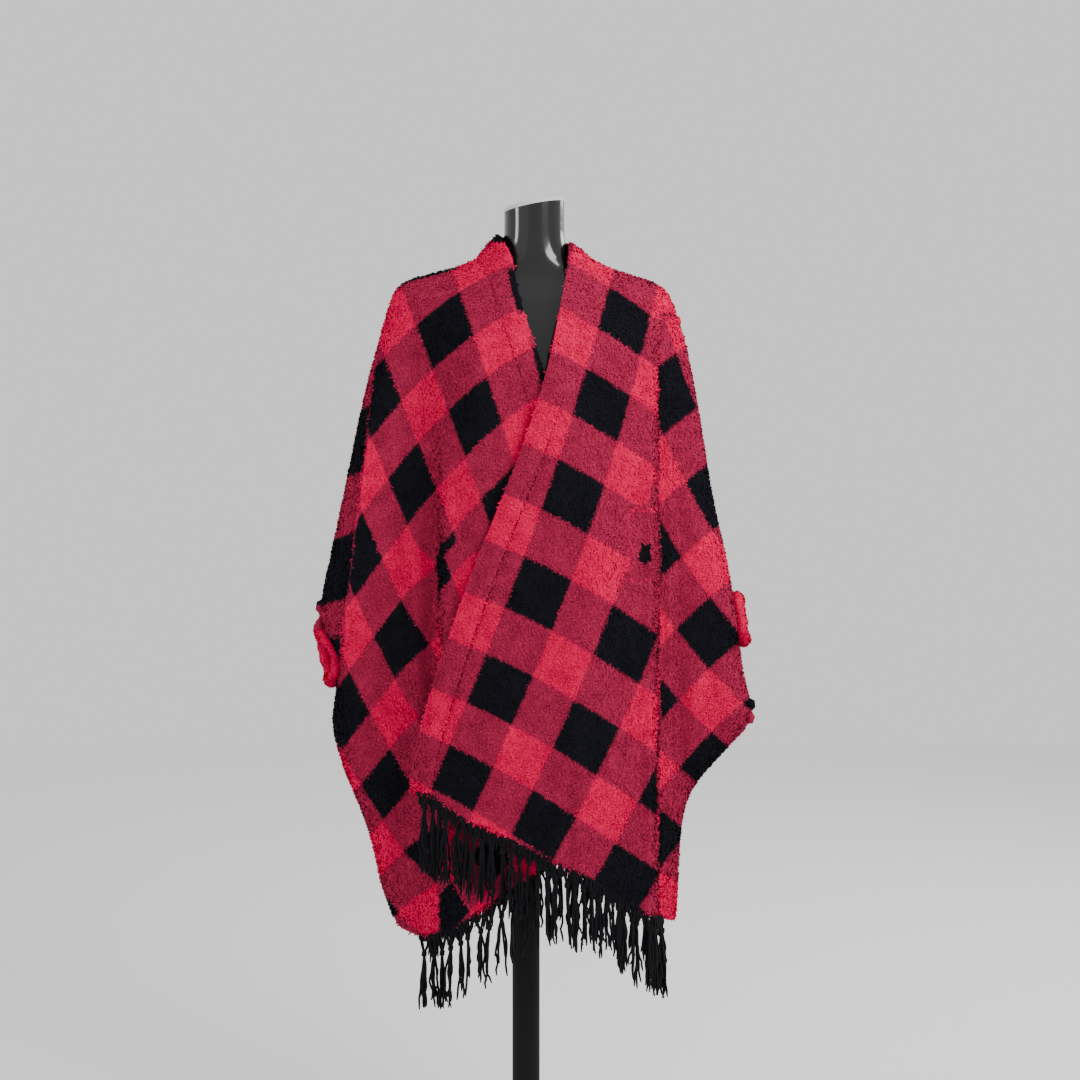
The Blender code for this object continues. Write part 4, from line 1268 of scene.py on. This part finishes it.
@dataclass
class Fringe:
    """Knotted yarn: locks drawn from the hem, tied in a row of knots, then hanging loose."""

    name: str
    node: str
    hem: Array
    knotting: Knotting
    seed: int
    strand_radius: float = 1.6 * MM
    length: float = 106 * MM
    knot_radius: float = 4.6 * MM
    heading_step: float = 1.6 * MM
    sides: int = 5

    def tube(self, builder: bmesh.types.BMesh, path: Sequence[Vector], radius: float,
             tip: float = 0.6) -> None:
        """A closed yarn along a path.

        Args:
            builder: the mesh being made.
            path: the yarn's middle line.
            radius: half its thickness.
            tip: how thin its end is.
        """
        rings = []
        for index, point in enumerate(path):
            ahead = path[min(index + 1, len(path) - 1)] - path[max(index - 1, 0)]
            across = ahead.cross(Vector((0.3, 1, 0.1))).normalized()
            other = ahead.cross(across).normalized()
            size = radius * (tip if index == len(path) - 1 else 1)
            rings.append([builder.verts.new(point + (across * math.cos(turn) + other * math.sin(turn)) * size)
                          for turn in (2 * math.pi * side / self.sides for side in range(self.sides))])
        for ring, following in zip(rings, rings[1:]):
            for side in range(self.sides):
                after = (side + 1) % self.sides
                builder.faces.new((ring[side], following[side], following[after], ring[after]))
        builder.faces.new(rings[0])
        builder.faces.new(rings[-1][::-1])

    def build(self, finish: bpy.types.Material) -> bpy.types.Object:
        """Makes the whole fringe as one joined piece.

        Args:
            finish: the yarn material.

        Returns:
            The piece.
        """
        chance = np.random.default_rng(self.seed)
        run = travelled(self.hem)[-1]
        count = max(int(run / self.knotting.pitch), 4)
        roots = along(self.hem, (np.arange(count + 1)) / count)
        builder = bmesh.new()
        for root in along(self.hem, np.arange(0, run, self.heading_step) / run):
            start = Vector(root) + Vector((chance.normal(0, 1), chance.normal(0, 1.2), 2.5)) * MM
            drop = self.knotting.heading_drop * chance.uniform(0.6, 1.25)
            lean = Vector((chance.normal(0, 3.5), chance.normal(0, 2), 0)) * MM
            self.tube(builder, [start, start + lean * 0.7 - Vector((0, 0, drop * 0.5)),
                                start + lean * 0.4 - Vector((0, 0, drop))], self.strand_radius)
        knots = []
        for index in range(count):
            middle = Vector((roots[index] + roots[index + 1]) / 2)
            sway = Vector((chance.normal(0, 1.8), chance.normal(0, 1.2), chance.normal(0, 2.2))) * MM
            knots.append(middle - Vector((0, 0, self.knotting.net_drop)) + sway)
        for index, knot in enumerate(knots):
            lump = bmesh.ops.create_icosphere(builder, subdivisions=1, radius=self.knot_radius)
            for vert in lump["verts"]:
                vert.co = knot + Vector((vert.co.x, vert.co.y * 0.9, vert.co.z * 1.35))
            for root in (roots[index], roots[index + 1]):
                for _ in range(3):
                    start = Vector(root) + Vector((chance.normal(0, 1.6), chance.normal(0, 0.7), 1.5)) * MM
                    slack = Vector((chance.normal(0, 1.0), chance.normal(0, 0.8), -1.5)) * MM
                    bend = (start + knot) / 2 + slack
                    self.tube(builder, [start, (start + bend) / 2, bend, (bend + knot) / 2, knot],
                              self.strand_radius, 1)
            share = index / max(count - 1, 1)
            bunch = 1.5 if share < 0.14 or share > 0.86 else chance.choice((0.5, 0.75, 1.0))
            for _ in range(int(self.knotting.strands * bunch)):
                drop = (self.length - self.knotting.net_drop) * chance.uniform(0.68, 1.06)
                drift = Vector((chance.normal(0, 3.6), chance.normal(0, 3.0), 0)) * MM
                bow = Vector((chance.normal(0, 2.6), chance.normal(0, 2.0), 0)) * MM
                beats, phase = chance.uniform(1.5, 3.5), chance.uniform(0, 6.3)
                path = []
                for step in range(11):
                    share = step / 10
                    curl = math.sin(phase + 2 * math.pi * beats * share) - math.sin(phase)
                    wave = bow * (math.sin(math.pi * share) + 0.5 * curl * share) + drift * share ** 1.4
                    path.append(knot + wave - Vector((0, 0, drop * share)))
                self.tube(builder, path, self.strand_radius)
        bmesh.ops.recalc_face_normals(builder, faces=builder.faces[:])
        mesh = bpy.data.meshes.new(self.name)
        builder.to_mesh(mesh)
        builder.free()
        mesh.shade_smooth()
        piece = link_piece(self.name, mesh, finish)
        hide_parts(self.node)
        return piece


@dataclass
class DressForm:
    """The glossy torso and neck, the pale cap, the pole and the base."""

    centre_x: float = 12 * MM
    neck_top: float = 1492 * MM
    tilt: float = math.radians(11)
    segments: int = 72
    inset: float = 0.2 * MM

    def ring(self, builder: bmesh.types.BMesh, z: float, width: float, depth: float, tilt: float = 0) -> list:
        """One level or tilted section."""
        turns = (2 * math.pi * step / self.segments for step in range(self.segments))
        return [builder.verts.new((self.centre_x + width * math.cos(turn), depth * math.sin(turn),
                                   z + width * math.cos(turn) * math.tan(tilt))) for turn in turns]

    def build(self, gloss: bpy.types.Material, cap: bpy.types.Material) -> None:
        """Makes the torso and gives the cap its finish.

        Args:
            gloss: the moulded form's material.
            cap: the neck cap's material.
        """
        heights = np.array([row.z for row in FORM]) * MM
        widths = np.array([row.half_width for row in FORM]) * MM
        depths = np.array([row.half_depth for row in FORM]) * MM
        line = np.stack([widths, heights, depths], axis=-1)
        for _ in range(2):
            near, far = line[:-1] * 0.75 + line[1:] * 0.25, line[:-1] * 0.25 + line[1:] * 0.75
            middle = np.stack([near, far], axis=1).reshape(-1, 3)
            line = np.vstack([line[:1], middle, line[-1:]])
        builder = bmesh.new()
        rings = [self.ring(builder, z, width - self.inset, depth) for width, z, depth in line]
        neck = FORM[-1].half_width * MM
        rings.append(self.ring(builder, self.neck_top, neck, neck, self.tilt))
        for lower, upper in zip(rings, rings[1:]):
            for step in range(self.segments):
                after = (step + 1) % self.segments
                builder.faces.new((lower[step], lower[after], upper[after], upper[step]))
        builder.faces.new(rings[0][::-1])
        builder.faces.new(rings[-1])
        mesh = bpy.data.meshes.new("form_shell")
        builder.to_mesh(mesh)
        builder.free()
        mesh.shade_smooth()
        mesh.set_sharp_from_angle(angle=math.radians(50))
        shell = link_piece("form_shell", mesh, gloss)
        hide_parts("form_torso")
        dress_node("neck_cap", cap)


def dress_node(name: str, finish: bpy.types.Material) -> None:
    """Gives a carried-over solid its finish."""
    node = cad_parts[name]
    node.data.materials.clear()
    node.data.materials.append(finish)


def fringed_hem(line: Array, low_x: float, high_x: float, inwards: float) -> Array:
    """The stretch of a hem that its fringe is drawn from.

    Args:
        line: the panel's lowest row of points.
        low_x: where the fringe starts, across.
        high_x: where it ends.
        inwards: how far its roots sit inside the cloth, along the depth.

    Returns:
        The points between the two ends.
    """
    kept = line[(line[:, 0] > low_x) & (line[:, 0] < high_x)].copy()
    kept[:, 1] += inwards
    return kept


STUDIO_LIGHTS = (
    StudioLight("key_light", (1.35, -1.45, 2.3), 46, 0.9),
    StudioLight("fill_light", (-2.0, -2.4, 1.6), 4, 2.0),
    StudioLight("back_light", (1.9, 1.7, 2.4), 34, 1.2),
    StudioLight("strip_light", (-1.5, -0.6, 1.7), 5, 0.3),
)
FRINGE_FROM = -150 * MM
FRINGE_TO = 195 * MM
BACK_FRINGE_TO = 201 * MM
ROOT_INSET = 3 * MM


def build_studio() -> None:
    """A pale floor, a white world, and soft lights."""
    builder = bmesh.new()
    bmesh.ops.create_grid(builder, x_segments=1, y_segments=1, size=4)
    floor_mesh = bpy.data.meshes.new("studio_floor")
    builder.to_mesh(floor_mesh)
    builder.free()
    pale, _, _, shader = new_material("studio_pale")
    shader.inputs["Base Color"].default_value = (0.9, 0.9, 0.9, 1)
    shader.inputs["Roughness"].default_value = 0.9
    floor_mesh.materials.append(pale)
    floor = bpy.data.objects.new("studio_floor", floor_mesh)
    bpy.context.scene.collection.objects.link(floor)
    world = bpy.data.worlds.new("studio_world")
    bpy.context.scene.world = world
    world.use_nodes = True
    world.node_tree.nodes["Background"].inputs["Color"].default_value = (1, 1, 1, 1)
    world.node_tree.nodes["Background"].inputs["Strength"].default_value = 0.95
    for lamp in STUDIO_LIGHTS:
        data = bpy.data.lights.new(lamp.name, "AREA")
        data.energy = lamp.power
        data.size = lamp.size
        light = bpy.data.objects.new(lamp.name, data)
        light.location = lamp.place
        aim = Vector((0, 0, 1.0)) - Vector(lamp.place)
        light.rotation_euler = aim.to_track_quat("-Z", "Y").to_euler()
        bpy.context.scene.collection.objects.link(light)


def main() -> None:
    """Builds the studio, the form, the cloth and the fringe in order."""
    VIEW.place()
    build_studio()
    plush = PlushFinish("plush_check").make()
    yarn = YarnFinish().make()
    gloss = HardFinish("gloss_black", (0.006, 0.006, 0.007), 0.14, 0.35, shine=0.3).make()
    cap = HardFinish("cap_grey", (0.52, 0.53, 0.54), 0.45, 0.0, 0.1, 40).make()
    satin = HardFinish("satin_black", (0.006, 0.006, 0.006), 0.6, 0.0, 0.12, 25, shine=0.12).make()

    DressForm().build(gloss, cap)
    dress_node("stand_pole", satin)
    dress_node("stand_base", satin)

    under = Front(Side.UNDER, EDGE_UNDER, SHOULDER_LEFT, SIDE_LEFT, OPENING_LEFT, HEM_UNDER,
                  [PleatRow(-125, 1110, 660, 34, 20)],
                  [FoldRow(-190, 1150, -215, 700, 26, -8), FoldRow(-75, 1000, -60, 500, 28, -6),
                   FoldRow(-213, 1290, -267, 815, 10, 8), FoldRow(-224, 1270, -278, 840, 7, -5),
                   FoldRow(-160, 1080, -150, 640, 14, 7), FoldRow(-126, 1140, -124, 660, 7, -9),
                   FoldRow(-107, 1120, -105, 660, 10, 4)])
    over = Front(Side.OVER, EDGE_OVER, SHOULDER_RIGHT, SIDE_RIGHT, OPENING_RIGHT, HEM_OVER,
                 [PleatRow(187, 1310, 380, 32, 21), PleatRow(212, 1240, 380, 14, 16)],
                 [FoldRow(110, 1150, 60, 560, 26, 8), FoldRow(250, 1200, 272, 740, 26, -9),
                  FoldRow(66, 700, 58, 560, 12, -6), FoldRow(140, 1020, 128, 820, 16, -6),
                  FoldRow(176, 1200, 176, 480, 9, 6), FoldRow(20, 1000, -20, 640, 20, -5)])
    back = Back(folds=[FoldRow(-200, 1180, -165, 460, 32, -14), FoldRow(-120, 1230, -95, 460, 34, 12),
                       FoldRow(-30, 1250, -15, 460, 34, -13), FoldRow(60, 1240, 70, 460, 34, 12),
                       FoldRow(135, 1200, 150, 460, 34, -14), FoldRow(225, 1150, 215, 700, 30, 10)])
    for front, seed, cut, band_cut in ((under, 3, (0.52, 1.02), (0.036, 0.96)),
                                       (over, 5, (0.52, 1.0), (0.034, 0.92))):
        side = front.side.value
        hem = fringed_hem(front.grid[-1], FRINGE_FROM, FRINGE_TO, ROOT_INSET)
        weave = THICK_FRINGE if front.side is Side.OVER else OPEN_FRINGE
        fringe = Fringe(f"fringe_yarn_{side}", f"fringe_{side}", hem, weave, seed).build(yarn)
        band, panel = front.panels(cut, band_cut)
        band.build(plush, ["form_shell"])
        panel.build(plush, ["form_shell"], [fringe])
    back_hem = fringed_hem(back.grid[-1], FRINGE_FROM, BACK_FRINGE_TO, -ROOT_INSET)
    back_fringe = Fringe("fringe_yarn_back", "fringe_back", back_hem, OPEN_FRINGE, 11).build(yarn)
    back.panel().build(plush, ["form_shell"], [back_fringe])
    back.neck_band().build(plush, ["form_shell"])
    Cuff("cuff_right_roll", SIDE_LEFT, OPENING_LEFT, -1, (0.5, 0.5)).build(plush)
    Cuff("cuff_left_roll", SIDE_RIGHT, OPENING_RIGHT, 1, (0.5, 0.5)).build(plush)


if __name__ == "__main__":
    main()
